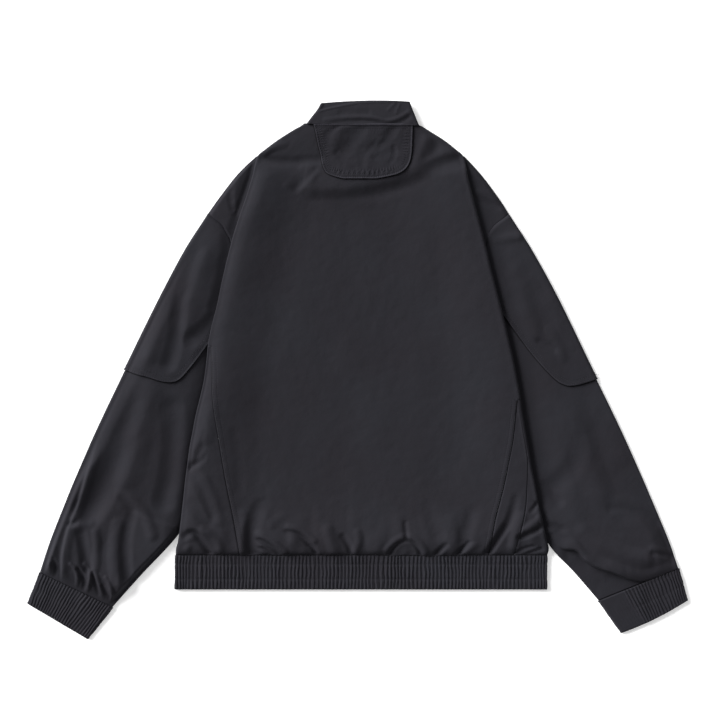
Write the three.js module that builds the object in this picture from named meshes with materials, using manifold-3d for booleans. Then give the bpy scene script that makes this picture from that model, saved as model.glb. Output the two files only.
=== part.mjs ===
// A utility jacket laid flat with its back up. Millimetres, +Z up, +Y towards the collar.
// _left is the wearer's left, at -X. Each cut piece is a wall about a mid-surface grid.
import * as THREE from "three";
import Module from "manifold-3d";

const wasm = await Module();
wasm.setup();

// ---------------------------------------------------------------- driving sizes

const CLOTH = 1.2; // thickness of the main cloth walls
const LINKED_CLOTH = 1.1; // a strip that is joined into a main wall
const THIN_CLOTH = 1.0; // a strip that is joined into a linked one, and the overlays
const SEAM_GAP = 0.3; // between two pieces at a seam
const ARMHOLE_GAP = 0.8; // between the curved armhole edges
const OVERLAY_GAP = 0.65; // between a panel and what is sewn on it

const FLOOR_LEVEL = CLOTH / 2; // mid-surface of a panel that rests on the floor
const FLAP_LIFT = 4.7; // the body's under layer rises this far over the sleeve
const HIDDEN_SLEEVE = 2.2; // mid-surface of the sleeve's top where the body covers it
const SHOULDER_UNDER = 3.8; // mid-surface of the pleat's lowest layer

const NECK_Y = 360.5; // collar seam
const NOTCH_Y = 316; // where the shoulder meets the pleat
const SHOULDER_END_Y = 230; // where the shoulder outline meets the armhole
const UNDERARM_Y = 36; // lower end of both armholes
const SIDE_APEX_RIGHT_Y = -44; // where the right side panel starts
const HEM_SEAM_Y = -271.5; // body to hem band
const HEM_Y = -322; // lower edge of the hem band
const PLEAT_RETURN = 13; // how far the pleat folds back under
const EDGE_RETURN = 3.7; // how far the fold strip runs on under the fold

const RIB_RISE = 0.8;
const HEM_RIBS = 78;
const CUFF_RIBS = 16;
const BAND_LEVEL = 5.5; // mid-surface of the hem band's upper layer
const CUFF_LEVEL = 5.2;

const ZIP_HALF_OPENING = 7; // front edges to the zip's middle
const TAPE_EDGE = 15;
const CHAIN_HALF = 3;
const SLIDER_Y = 378;
const SLIDER_LENGTH = 12;
const SLIDER_LIFT = 4.6; // the neck is this much higher, over the slider and its pull

const SIDES = [
  { name: "left", sign: -1 },
  { name: "right", sign: 1 },
];

// ---------------------------------------------------------------- tables

function table(columns, ...rows) {
  const names = columns.split(" ");
  return rows.map((row) => Object.fromEntries(names.map((name, i) => [name, row[i]])));
}

// Outline of the body's folded edges, collar to hem.
const BODY_EDGE = table("y left right",
  [361.5, -76, 88], [353, -92.5, 101], [338, -116.5, 125], [323, -136.5, 144], [314, -147, 154],
  [280, -156, 162], [220, -176, 178], [160, -193, 193], [100, -206, 208], [44, -219, 222],
  [-15, -226, 234], [-75, -240, 244], [-135, -250, 254], [-195, -257, 265], [-250, -264, 277],
  [-262, -267, 280], [HEM_SEAM_Y, -267.5, 278]);

// Outline of each drop shoulder, from the notch to the armhole.
const SHOULDER_EDGE = table("y left right",
  [316, -147.5, 154.5], [298, -167, 171.5], [281, -182.7, 186], [263, -196.7, 199.4],
  [246, -209.3, 211.6], [230, -220.5, 221.5]);

// Seam between the back and each side panel, then the seam from side to front at the right.
const BACK_SEAM = {
  left: table("y x", [37, -216.4], [18, -215.4], [-44, -213], [-103, -204], [-162, -194],
    [-220, -182], [HEM_SEAM_Y, -173]),
  right: table("y x", [-44, 234], [-103, 227.6], [-132, 222], [-162, 216], [-191, 209],
    [-220, 201.5], [HEM_SEAM_Y, 192]),
};
const FRONT_SEAM_RIGHT = table("y x", [-44, 237.4], [-80, 242.6], [-118, 248.3], [-191, 247],
  [-220, 242.6], [-260, 232.3], [HEM_SEAM_Y, 229]);

// Armhole from the end of the shoulder (s = 0) to the underarm (s = 1).
const ARMHOLE = {
  left: table("s x y", [0, -220.5, 230], [0.12, -195, 209], [0.26, -184, 183], [0.44, -180, 146],
    [0.68, -181, 96], [0.87, -185, 60], [1, -187, 36]),
  right: table("s x y", [0, 221.5, 229], [0.12, 196.5, 209], [0.26, 186, 183], [0.44, 183, 146],
    [0.68, 185, 96], [0.87, 189, 60], [1, 191, 36]),
};

// Rings of each sleeve after the armhole: its outer and inner outline down to the cuff.
const SLEEVE = {
  left: table("t outer_x outer_y inner_x inner_y",
    [0, -220.5, 230, -187, 36], [0.12, -254.5, 174, -191, 15], [0.26, -292, 103, -197, -10],
    [0.44, -342.5, 0, -213, -60], [0.6, -384.5, -88, -234, -137], [0.72, -414.5, -156, -252, -218],
    [0.78, -428.5, -190, -266, -245], [0.9, -452, -250, -317, -300],
    [1, -467.5, -297, -360, -348]),
  right: table("t outer_x outer_y inner_x inner_y",
    [0, 221.5, 229, 191, 36], [0.12, 256, 173, 197, 15], [0.26, 294, 103, 205, -10],
    [0.44, 344, 0, 218, -60], [0.6, 386.5, -88, 239, -137], [0.72, 417.5, -157, 261, -220],
    [0.78, 432, -191, 281, -258], [0.9, 456.5, -250, 318, -298], [1, 470.5, -291, 353, -338.5]),
};
const CUFF_END = {
  left: { outer_x: -485, outer_y: -343, inner_x: -397, inner_y: -395 },
  right: { outer_x: 484, outer_y: -338, inner_x: 387, inner_y: -386 },
};

// Lower edge of each sleeve overlay, from its left end to its right end.
const PATCH_EDGE = {
  left: table("x y", [-520, 4], [-345, 0], [-325, -6], [-306, -11], [-293, -15.5], [-280, -18],
    [-268, -17], [-259, -11.5], [-240, 11], [-221, 38], [-200, 68], [-170, 110]),
  right: table("x y", [170, 140], [196, 105], [215, 77.5], [239.5, 44], [256, 22.5], [271, 5],
    [284, -9], [294, -17.5], [303, -22], [311, -23.5], [323, -22], [336, -18.5], [352, -14],
    [520, -14]),
};

// Mid-surface level of the body's upper layer in its middle and near its folded edges.
const TOP_LEVEL = table("y middle edge",
  [361, 9.8, 8.4], [340, 9.2, 8.4], [313, 7.6, 8.6], [280, 6.6, 8.8], [230, 5.8, 9],
  [150, 5.2, 9], [40, 5, 9], [-60, 5, 9], [-150, 5.8, 9], [-200, 7.6, 9.6],
  [-232, 11, 11.5], [-248, 12, 11], [-262, 9, 8.6], [HEM_SEAM_Y, 6, 5.8]);

// Level of each sleeve's upper layer from the armhole to the cuff.
const SLEEVE_LEVEL = table("t z", [0, 5.6], [0.1, 7.4], [0.3, 8], [0.6, 8.2], [0.78, 9],
  [0.88, 11], [0.95, 11.5], [1, CUFF_LEVEL]);

// Creases of the body's upper layer: a ridge, or with a negative height a trough, along a line.
const BODY_FOLDS = table("x0 y0 x1 y1 height width",
  // shoulders and neck
  [150, 308, 62, 262, -1.6, 26], [62, 262, -60, 254, -1.2, 26], [-140, 321, -56, 311, 1.6, 16],
  [-128, 303, -60, 296, -1.2, 14], [140, 330, 96, 300, 1.4, 20],
  // along the left side
  [-247, -145, -225, -132, -2, 14], [-232, -118, -216, -60, 0.8, 22],
  // gathers above the hem, left to right
  [-256, -242, -234, -248, -3, 13], [-234, -248, -217, -270, -3.6, 12],
  [-204, -268, -198, -240, 2, 12], [-180, -270, -176, -235, -2, 12],
  [-149, -198, -157, -266, -4, 20], [-148, -246, -113, -269, -3, 11],
  [-130, -232, -96, -262, 2.4, 14], [-101, -237, -71, -254, -3, 12],
  [-71, -254, -60, -270, -3, 11], [-44, -236, -36, -264, 2, 15],
  [-21, -246, -9, -270, -2.6, 12], [18, -228, 22, -262, 1.8, 18],
  [48, -268, 70, -247, -3, 11], [70, -247, 92, -267, -3, 11], [66, -226, 70, -247, -2, 11],
  [112, -270, 128, -256, -2.6, 11], [146, -232, 140, -262, 1.8, 14],
  [151, -266, 162, -254, -2.6, 11], [162, -254, 160, -222, 2, 13],
  [192, -270, 217, -234, -4.4, 13], [217, -234, 225, -188, -3, 13],
  [240, -216, 226, -256, 2.2, 13], [232, -260, 270, -230, -3, 12]);

const SLEEVE_FOLDS = {
  left: table("x0 y0 x1 y1 height width",
    [-243, 178, -272, 68, -2, 20], [-272, 68, -282, 24, -1.6, 18], [-224, 166, -257, 56, 1.6, 16],
    [-288, -78, -291, -197, -2.4, 22], [-309, -40, -347, -179, 2, 24],
    [-347, -179, -352, -292, 2, 22], [-354, -103, -390, -204, -2, 20],
    [-394, -141, -420, -225, 2.4, 16], [-420, -225, -430, -290, 2.4, 15],
    [-424, -170, -446, -262, -2.4, 16], [-413, -285, -419, -312, -2.6, 11],
    [-394, -280, -396, -316, -2.4, 10], [-372, -300, -380, -328, -2.4, 10],
    [-356, -300, -362, -330, 1.6, 10], [-320, -262, -330, -298, 1.6, 16]),
  right: table("x0 y0 x1 y1 height width",
    [243, 178, 274, 68, -1.8, 20], [225, 166, 258, 56, 1.4, 16],
    [312, -60, 352, -180, 1.8, 26], [352, -100, 392, -206, -1.6, 24],
    [292, -110, 296, -190, -2, 22], [370, -198, 429, -213, -2, 20],
    [296, -250, 351, -278, 3, 20], [351, -278, 400, -292, 2.6, 18],
    [319, -290, 369, -322, -3.4, 14], [436, -269, 462, -273, -1.8, 12],
    [416, -262, 424, -294, 2, 14], [388, -300, 392, -318, -2, 10],
    [440, -284, 446, -300, -2, 10]),
};

// Neck flap, hanging from the collar seam.
const NECK_FLAP = table("y left right",
  [358.6, -65, 80], [350, -62.5, 80], [338, -60, 79.5], [326, -57.4, 79.2], [317, -55, 79],
  [305, -53, 76], [295, -50, 70], [288, -45, 60], [283.5, -34, 44], [281, -22, 26]);

// Rows of the body's pieces, collar to hem, closer together where the cloth is gathered.
const BODY_ROWS = [350, 338, 326, 317, 309, 294, 272, 248, 222, 196, 170, 142, 110, 74, 36, -4, -44,
  -80, -116, -148, -176, -200, -219, -234, -246, -257, -265, HEM_SEAM_Y];

// ---------------------------------------------------------------- small functions

const clamp = THREE.MathUtils.clamp;
const lerp = THREE.MathUtils.lerp;
const smooth = (u) => THREE.MathUtils.smoothstep(u, 0, 1);
const point = (x, y, z, rise = 0) => Object.assign(new THREE.Vector3(x, y, z), { rise });
const steps = (count) => Array.from({ length: count + 1 }, (_, i) => i / count);
const rowsBetween = (high, low) => [
  high, ...BODY_ROWS.filter((y) => y < high - 2 && y > low + 2), low];

// The value of one column where another is `at`, along a smooth curve through a table's rows.
function along(rows, key, column, at) {
  const last = rows.length - 1;
  const rising = rows[last][key] > rows[0][key];
  const passed = rows.findLastIndex((row) => (rising ? row[key] <= at : row[key] >= at));
  const i = clamp(passed, 0, last - 1);
  const span = rows[i + 1][key] - rows[i][key];
  const t = clamp((at - rows[i][key]) / span, 0, 1);
  const slope = (j) => {
    const before = rows[Math.max(j - 1, 0)];
    const after = rows[Math.min(j + 1, last)];
    return (span * (after[column] - before[column])) / (after[key] - before[key]);
  };
  const [a, b] = [rows[i][column], rows[i + 1][column]];
  return a + (b - a) * t * t * (3 - 2 * t)
    + slope(i) * t * (1 - t) * (1 - t) - slope(i + 1) * t * t * (1 - t);
}

// Sum of the creases at a place. Each is highest on its line and ends `width` away from it.
function creases(folds, x, y) {
  return folds.reduce((sum, fold) => {
    const [dx, dy] = [fold.x1 - fold.x0, fold.y1 - fold.y0];
    const t = clamp(((x - fold.x0) * dx + (y - fold.y0) * dy) / (dx * dx + dy * dy), 0, 1);
    const distance = Math.hypot(x - fold.x0 - t * dx, y - fold.y0 - t * dy);
    const u = Math.min(distance / fold.width, 1);
    return sum + fold.height * (1 - u * u) ** 2;
  }, 0);
}

// ---------------------------------------------------------------- walls and solids

function normalAt(grid, j, i, ring) {
  const row = grid[j];
  const count = row.length;
  const left = ring ? row[(i + count - 1) % count] : row[Math.max(i - 1, 0)];
  const right = ring ? row[(i + 1) % count] : row[Math.min(i + 1, count - 1)];
  const above = grid[Math.max(j - 1, 0)][i];
  const below = grid[Math.min(j + 1, grid.length - 1)][i];
  const here = row[i];
  const bisect = (a, b) => {
    const first = here.clone().sub(a);
    const second = b.clone().sub(here);
    return first.normalize().add(second.normalize());
  };
  return bisect(above, below).cross(bisect(left, right)).normalize();
}

// A closed wall about a grid of mid-surface points, rows running towards the hem. A ring's rows
// close on themselves. `flip` turns the outer side round. A point's `rise` lifts its outer side.
function wall(grid, { thickness = CLOTH, ring = false, flip = false } = {}) {
  const rowCount = grid.length;
  const count = grid[0].length;
  const positions = [];
  const turn = flip ? -1 : 1;
  const layer = (offset) => {
    for (let j = 0; j < rowCount; j += 1) {
      for (let i = 0; i < count; i += 1) {
        const away = normalAt(grid, j, i, ring).multiplyScalar(turn * offset(grid[j][i]));
        positions.push(...grid[j][i].clone().add(away).toArray());
      }
    }
  };
  layer((p) => thickness / 2 + (p.rise ?? 0));
  layer(() => -thickness / 2);

  const index = [];
  const outer = (j, i) => j * count + (i % count);
  const inner = (j, i) => outer(j, i) + rowCount * count;
  const face = (a, b, c) => index.push(...(flip ? [a, c, b] : [a, b, c]));
  const rim = ([pj, pi], [qj, qi]) => {
    face(outer(qj, qi), outer(pj, pi), inner(pj, pi));
    face(outer(qj, qi), inner(pj, pi), inner(qj, qi));
  };
  const cells = ring ? count : count - 1;
  for (let j = 0; j < rowCount - 1; j += 1) {
    for (let i = 0; i < cells; i += 1) {
      face(outer(j, i), outer(j + 1, i), outer(j, i + 1));
      face(outer(j, i + 1), outer(j + 1, i), outer(j + 1, i + 1));
      face(inner(j, i), inner(j, i + 1), inner(j + 1, i));
      face(inner(j, i + 1), inner(j + 1, i + 1), inner(j + 1, i));
    }
  }
  for (let i = 0; i < cells; i += 1) {
    rim([0, i + 1], [0, i]);
    rim([rowCount - 1, i], [rowCount - 1, i + 1]);
  }
  for (let j = 0; j < rowCount - 1 && !ring; j += 1) {
    rim([j, 0], [j + 1, 0]);
    rim([j + 1, count - 1], [j, count - 1]);
  }
  const geometry = new THREE.BufferGeometry();
  geometry.setAttribute("position", new THREE.Float32BufferAttribute(positions, 3));
  geometry.setIndex(index);
  return geometry;
}

const solidOf = (geometry) => new wasm.Manifold(new wasm.Mesh({
  numProp: 3,
  vertProperties: new Float32Array(geometry.attributes.position.array),
  triVerts: new Uint32Array(geometry.index.array),
}));

function geometryOf(solid) {
  const mesh = solid.getMesh();
  const geometry = new THREE.BufferGeometry();
  geometry.setAttribute("position", new THREE.Float32BufferAttribute(mesh.vertProperties, 3));
  geometry.setIndex(Array.from(mesh.triVerts));
  return geometry;
}

// Joins closed geometries into one.
const joined = (...geometries) => geometryOf(geometries.map(solidOf)
  .reduce((sum, next) => sum.add(next)));

// A box, a rod or an extruded shape as shared points only, which is what `joined` needs.
function sharedPoints(geometry) {
  const source = (geometry.index ? geometry.toNonIndexed() : geometry).attributes.position;
  const found = new Map();
  const positions = [];
  const index = [];
  for (let i = 0; i < source.count; i += 1) {
    const xyz = [source.getX(i), source.getY(i), source.getZ(i)];
    const key = xyz.map((value) => value.toFixed(4)).join();
    if (!found.has(key)) {
      found.set(key, found.size);
      positions.push(...xyz);
    }
    index.push(found.get(key));
  }
  const shared = new THREE.BufferGeometry();
  shared.setAttribute("position", new THREE.Float32BufferAttribute(positions, 3));
  shared.setIndex(index);
  return shared;
}

// ---------------------------------------------------------------- the body's form

const zipX = (y) => 5 + ((y - HEM_Y) / 717) * 5;

// How much the fronts and the collar's under layer rise at the neck, over the slider.
function frontLift(x, y) {
  return SLIDER_LIFT * smooth((y - 318) / 40) * smooth((110 - Math.abs(x - 8)) / 60);
}


// Inner edge of a sleeve under the body, or the body's own edge where the sleeve has come out.
function sleeveInner(side, y) {
  const inner = side.sign * along(SLEEVE[side.name], "inner_y", "inner_x", y);
  const edge = side.sign * along(BODY_EDGE, "y", side.name, y) - 4;
  return side.sign * Math.min(inner, edge);
}

const armholeX = (side, y) => along(ARMHOLE[side.name], "y", "x", y);

// Length of the ramp down from the sleeve to the floor, short at the underarm.
const rampRun = (y) => lerp(4, 16, smooth((UNDERARM_Y - y) / 30));
const flapLift = (y) => FLAP_LIFT * smooth((y - HEM_SEAM_Y) / 36) * (1 - smooth((y - 308) / 14));

// Mid-surface of the body's under layer: over the hidden edge of the sleeve, then on the floor.
function underHeight(side, x, y) {
  const floor = FLOOR_LEVEL + frontLift(x, y);
  if (y >= UNDERARM_Y) return floor + flapLift(y);
  const inward = -side.sign * (x - sleeveInner(side, y));
  return floor + flapLift(y) * (1 - smooth((inward + 1) / (rampRun(y) + 2)));
}

function topHeight(x, y) {
  const left = along(BODY_EDGE, "y", "left", y);
  const right = along(BODY_EDGE, "y", "right", y);
  const across = Math.abs(x - (left + right) / 2) / ((right - left) / 2);
  const middle = along(TOP_LEVEL, "y", "middle", y);
  const edge = along(TOP_LEVEL, "y", "edge", y);
  const fade = smooth((y - HEM_SEAM_Y + 2) / 14);
  return lerp(middle, edge, smooth((across - 0.55) / 0.4)) + fade * creases(BODY_FOLDS, x, y);
}

// The fold at the body's edge: its middle, radius and level at a row.
function foldAt(side, y) {
  const edge = along(BODY_EDGE, "y", side.name, y) - side.sign * (CLOTH / 2);
  const near = edge - side.sign * 2.5;
  const under = underHeight(side, near, y);
  const top = Math.max(topHeight(near, y), under + 2.6);
  const radius = (top - under) / 2;
  return { x: edge - side.sign * radius, z: under + radius, radius, half: Math.PI * radius };
}

// A point on the body's section at a row. q is the length along the cloth from the start of the
// fold: below 0 on the upper layer, up to half a turn on the fold, and beyond it underneath.
function bodyPoint(side, y, q) {
  const fold = foldAt(side, y);
  if (q <= 0) {
    const x = fold.x + side.sign * q;
    const blend = smooth(1 + q / 12);
    return point(x, y, lerp(topHeight(x, y), fold.z + fold.radius, blend));
  }
  if (q < fold.half) {
    const angle = q / fold.radius;
    return point(fold.x + side.sign * fold.radius * Math.sin(angle), y,
      fold.z + fold.radius * Math.cos(angle));
  }
  const x = fold.x - side.sign * (q - fold.half);
  const blend = smooth(1 - (q - fold.half) / 6);
  return point(x, y, lerp(underHeight(side, x, y), fold.z - fold.radius, blend));
}

// Length q at which the body's section passes a given x, above or underneath.
const topQ = (side, y, x) => side.sign * (x - foldAt(side, y).x);
const underQ = (side, y, x) => foldAt(side, y).half - side.sign * (x - foldAt(side, y).x);

// A grid from one q to another, with the fold's half turn in even steps where it is passed.
function sectionRow(side, y, qs) {
  return qs.map((q) => bodyPoint(side, y, q));
}
const turnSteps = (half) => steps(3).map((u) => u * half);

// ---------------------------------------------------------------- body pieces

// The back's main sheet, from fold to fold above the side panels and from seam to seam below.
const BACK_GRID = (() => {
  const columns = 30;
  const end = (side, y) => {
    const apex = side.sign < 0 ? UNDERARM_Y : SIDE_APEX_RIGHT_Y;
    if (y > apex) return foldAt(side, y).x - side.sign;
    return along(BACK_SEAM[side.name], "y", "x", y) - (side.sign * SEAM_GAP) / 2;
  };
  const neckLine = (x) => NECK_Y - 0.015 * (x - 8) - SEAM_GAP;
  return [NECK_Y, ...BODY_ROWS].map((y) => {
    const [left, right] = SIDES.map((side) => end(side, y));
    return steps(columns).map((u) => {
      const x = lerp(left, right, u);
      const side = SIDES[u < 0.5 ? 0 : 1];
      const q = topQ(side, y, x);
      return point(x, y === NECK_Y ? neckLine(x) : y, bodyPoint(side, y, Math.min(q, 0)).z);
    });
  });
})();

// The rolled edge of the back, from inside its upper layer round to a short return.
function backEdge(side) {
  const low = side.sign < 0 ? UNDERARM_Y + SEAM_GAP : SIDE_APEX_RIGHT_Y + SEAM_GAP;
  const grid = rowsBetween(NECK_Y - 2, low).map((y) => {
    const { half } = foldAt(side, y);
    return sectionRow(side, y, [-5, -2.5, ...turnSteps(half), half + EDGE_RETURN]);
  });
  return wall(grid, { thickness: LINKED_CLOTH, flip: side.sign < 0 });
}

const returnEnd = (side, y) => {
  const armhole = foldAt(side, y).x - side.sign * PLEAT_RETURN;
  return y > 190 ? armhole : side.sign * Math.min(side.sign * armholeX(side, y), side.sign * armhole);
};

// The pleat's layer that runs back under the fold, to the armhole seam or the inner turn.
function pleatReturn(side) {
  const grid = rowsBetween(300, UNDERARM_Y + SEAM_GAP).map((y) => {
    const { half } = foldAt(side, y);
    const end = underQ(side, y, returnEnd(side, y));
    return sectionRow(side, y, steps(3).map((u) => lerp(half + 1, end, u)));
  });
  return wall(grid, { thickness: THIN_CLOTH, flip: side.sign < 0 });
}

// The outline from the notch to the end of the shoulder.
const shoulderX = (side, y) => along(SHOULDER_EDGE, "y", side.name, clamp(y, 230, 316));

const shoulderOuter = (side, y) => (y > SHOULDER_END_Y
  ? shoulderX(side, y) - side.sign * (THIN_CLOTH / 2)
  : armholeX(side, y) - side.sign * (ARMHOLE_GAP / 2));

// Level of the drop shoulder: low under the pleat, higher where it shows, low at the outline.
function shoulderHeight(side, x, y) {
  const outside = side.sign * (x - along(BODY_EDGE, "y", side.name, y));
  const shown = lerp(SHOULDER_UNDER, 6, smooth((outside - 2) / 14));
  return y > SHOULDER_END_Y ? lerp(2.6, shown, smooth((side.sign * (shoulderX(side, y) - x)) / 7)) : shown;
}

// The drop shoulder: the pleat's lowest layer, from its inner turn out to the armhole seam.
function dropShoulder(side) {
  const rows = [312, 294, 272, 250, 238, 230, 219, 207, 192];
  const turn = 0.75;
  const grid = rows.map((y) => {
    const inner = foldAt(side, y).x - side.sign * PLEAT_RETURN;
    const start = [3, 1].map((back) => point(inner + side.sign * back, y, SHOULDER_UNDER + 2 * turn));
    const round = [0.25, 0.5, 0.75].map((u) => point(inner - side.sign * turn * Math.sin(u * Math.PI), y,
      SHOULDER_UNDER + turn + turn * Math.cos(u * Math.PI)));
    const out = steps(5).map((u) => {
      const x = lerp(inner + side.sign, shoulderOuter(side, y), u);
      return point(x, y, shoulderHeight(side, x, y));
    });
    return [...start, ...round, ...out];
  });
  return wall(grid, { thickness: THIN_CLOTH, flip: side.sign > 0 });
}

function back() {
  const parts = SIDES.flatMap((side) => [backEdge(side), pleatReturn(side), dropShoulder(side)]);
  return joined(wall(BACK_GRID), ...parts);
}

// Seam on the underside where the flap over the sleeve meets the front, in straight stretches.
const UNDER_SEAM_ROWS = [UNDERARM_Y, -4, -44, -116, -176, -234, HEM_SEAM_Y];
function underSeamX(side, y) {
  const x = (row) => sleeveInner(side, row) - side.sign * (rampRun(row) + 3);
  const i = clamp(UNDER_SEAM_ROWS.findLastIndex((row) => row >= y), 0, UNDER_SEAM_ROWS.length - 2);
  const [high, low] = [UNDER_SEAM_ROWS[i], UNDER_SEAM_ROWS[i + 1]];
  return lerp(x(high), x(low), (high - y) / (high - low));
}

// q of the under layer's steps: along the sleeve, then down the ramp to the floor.
function flapSteps(side, y, from, end) {
  const rampTop = underQ(side, y, sleeveInner(side, y) + side.sign);
  const rampEnd = rampTop + rampRun(y) + 2;
  return [from, ...steps(4).map((u) => lerp(rampTop, rampEnd, u)), end]
    .map((q, i) => Math.max(q, from + 0.4 * i));
}

function sideLeft() {
  const side = SIDES[0];
  const grid = rowsBetween(UNDERARM_Y, HEM_SEAM_Y).map((y) => {
    const { half } = foldAt(side, y);
    const seam = topQ(side, y, along(BACK_SEAM.left, "y", "x", y) - SEAM_GAP / 2);
    const top = steps(4).slice(0, -1).map((u) => lerp(Math.min(seam, -0.8), 0, u));
    const end = underQ(side, y, underSeamX(side, y));
    return sectionRow(side, y, [...top, ...turnSteps(half), ...flapSteps(side, y, half + 3, end)]);
  });
  return wall(grid, { flip: true });
}

const frontSeamX = (y) => Math.min(along(FRONT_SEAM_RIGHT, "y", "x", y), foldAt(SIDES[1], y).x - 0.8);

function sideRight() {
  const grid = rowsBetween(SIDE_APEX_RIGHT_Y, HEM_SEAM_Y).map((y) => {
    const from = along(BACK_SEAM.right, "y", "x", y) + SEAM_GAP / 2;
    const end = frontSeamX(y) - SEAM_GAP / 2;
    return steps(4).map((u) => bodyPoint(SIDES[1], y, topQ(SIDES[1], y, lerp(from, end, u))));
  });
  return wall(grid);
}

// A front's flat sheet, with the neck's scoop, the shoulder, the armhole and the side.
function frontSheet(side) {
  const armhole = sleeveRing(side, 0).filter(({ z, y }) => z === FLOOR_LEVEL && y < SHOULDER_END_Y)
    .sort((a, b) => b.y - a.y);
  const neckScoop = (y) => 8 + side.sign * 72 * Math.sqrt(clamp((y - 338) / 22, 0, 1));
  const inner = (y) => {
    const zip = zipX(y) + side.sign * ZIP_HALF_OPENING;
    return side.sign * Math.max(side.sign * zip, side.sign * (neckScoop(y) + side.sign));
  };
  const outer = (y) => {
    const fold = foldAt(side, y);
    if (y > NOTCH_Y) return fold.x - side.sign * (EDGE_RETURN + ARMHOLE_GAP);
    if (y > SHOULDER_END_Y) return shoulderX(side, y) - side.sign * (CLOTH / 2);
    const sewn = armhole.find((p) => p.y === y);
    if (sewn) return sewn.x - side.sign * 2 * SEAM_GAP;
    return underSeamX(side, y) - side.sign * (side.sign < 0 ? SEAM_GAP : 0);
  };
  const rows = [351, 346, 342, 338, 330, 322, NOTCH_Y + 0.5, NOTCH_Y - 3, 290, 260,
    SHOULDER_END_Y + 1, ...armhole.map((p) => p.y), ...UNDER_SEAM_ROWS];
  const grid = rows.map((y) => steps(5).map((u) => {
    const x = lerp(inner(y), outer(y), u);
    return point(x, y, FLOOR_LEVEL + frontLift(x, y));
  }));
  return wall(grid, { flip: side.sign < 0 });
}

// At the right the front also runs over the sleeve's edge and wraps round on to the top.
function frontRight() {
  const side = SIDES[1];
  const flapRows = [...UNDER_SEAM_ROWS, 16, -80, -146, -205, -257].sort((a, b) => b - a);
  const flap = flapRows.map((y) => {
    const { half } = foldAt(side, y);
    const end = underQ(side, y, underSeamX(side, y) - 4);
    return sectionRow(side, y, flapSteps(side, y, half + EDGE_RETURN + SEAM_GAP, end));
  });
  const wrap = rowsBetween(SIDE_APEX_RIGHT_Y, HEM_SEAM_Y).map((y) => {
    const { half } = foldAt(side, y);
    const seam = topQ(side, y, frontSeamX(y) + SEAM_GAP / 2);
    const top = steps(2).slice(0, -1).map((u) => lerp(seam, 0, u));
    return sectionRow(side, y, [...top, ...turnSteps(half), half + EDGE_RETURN, half + 7]);
  });
  return joined(frontSheet(side), wall(flap, { thickness: LINKED_CLOTH, flip: true }),
    wall(wrap, { thickness: THIN_CLOTH }));
}

// ---------------------------------------------------------------- sleeves, cuffs and overlays

const RING = { top: 12, turn: 4, under: 4 };

// A place on a sleeve, s across it from its outer outline and t down it from the armhole.
function sleevePlace(side, s, t) {
  const rows = SLEEVE[side.name];
  const at = (column) => along(rows, "t", column, t);
  const across = (axis) => lerp(at(`outer_${axis}`), at(`inner_${axis}`), s);
  const fade = clamp(1 - t / 0.35, 0, 1) ** 2;
  const bow = (axis) => fade * (along(ARMHOLE[side.name], "s", axis, s)
    - lerp(rows[0][`outer_${axis}`], rows[0][`inner_${axis}`], s));
  return { x: across("x") + bow("x"), y: across("y") + bow("y") };
}

// Level of a sleeve's upper layer: low beside its outer fold and where the body covers it.
function sleeveTop(side, x, y, t, fromEdge) {
  const level = along(SLEEVE_LEVEL, "t", "z", t);
  const edge = Math.min(level, 5);
  const fade = smooth((1 - t) / 0.06);
  const open = lerp(edge, level, smooth(fromEdge / 26)) + fade * creases(SLEEVE_FOLDS[side.name], x, y);
  const outside = side.sign * (x - along(BODY_EDGE, "y", side.name, y));
  return lerp(HIDDEN_SLEEVE, Math.max(open, 4), smooth((outside - 5) / 24));
}

function sleeveRing(side, t) {
  const a = sleevePlace(side, 0, t);
  const b = sleevePlace(side, 1, t);
  const width = Math.hypot(b.x - a.x, b.y - a.y);
  const inset = CLOTH / 2;
  const topAt = (w) => {
    const place = sleevePlace(side, w / width, t);
    const fromEdge = Math.min(w, t > 0.75 ? width - w : width);
    return point(place.x, place.y, sleeveTop(side, place.x, place.y, t, fromEdge));
  };
  const outerRadius = (topAt(inset + 2.2).z - FLOOR_LEVEL) / 2;
  const innerRadius = (topAt(width - inset - 1.5).z - FLOOR_LEVEL) / 2;
  const [from, to] = [inset + outerRadius, width - inset - innerRadius];
  const turn = (w, radius, away) => steps(RING.turn).slice(1, -1).map((u) => {
    const place = sleevePlace(side, (w + away * radius * Math.sin(u * Math.PI)) / width, t);
    return point(place.x, place.y, FLOOR_LEVEL + radius + away * radius * Math.cos(u * Math.PI));
  });
  const level = (w, z) => Object.assign(topAt(w), { z });
  const top = steps(RING.top).map((u) => topAt(lerp(from, to, u)));
  top[0].z = FLOOR_LEVEL + 2 * outerRadius;
  top[RING.top].z = FLOOR_LEVEL + 2 * innerRadius;
  const under = steps(RING.under).map((u) => level(lerp(to, from, u), FLOOR_LEVEL));
  return [...top, ...turn(to, innerRadius, 1), ...under, ...turn(from, outerRadius, -1)];
}

const SLEEVE_TS = [0, 0.05, 0.1, 0.16, 0.22, 0.29, 0.36, 0.44, 0.52, 0.6, 0.68, 0.75, 0.81, 0.86,
  0.905, 0.94, 0.97, 0.9997];

const sleeve = (side) => wall(SLEEVE_TS.map((t) => sleeveRing(side, t)),
  { ring: true, flip: side.sign > 0 });

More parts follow.
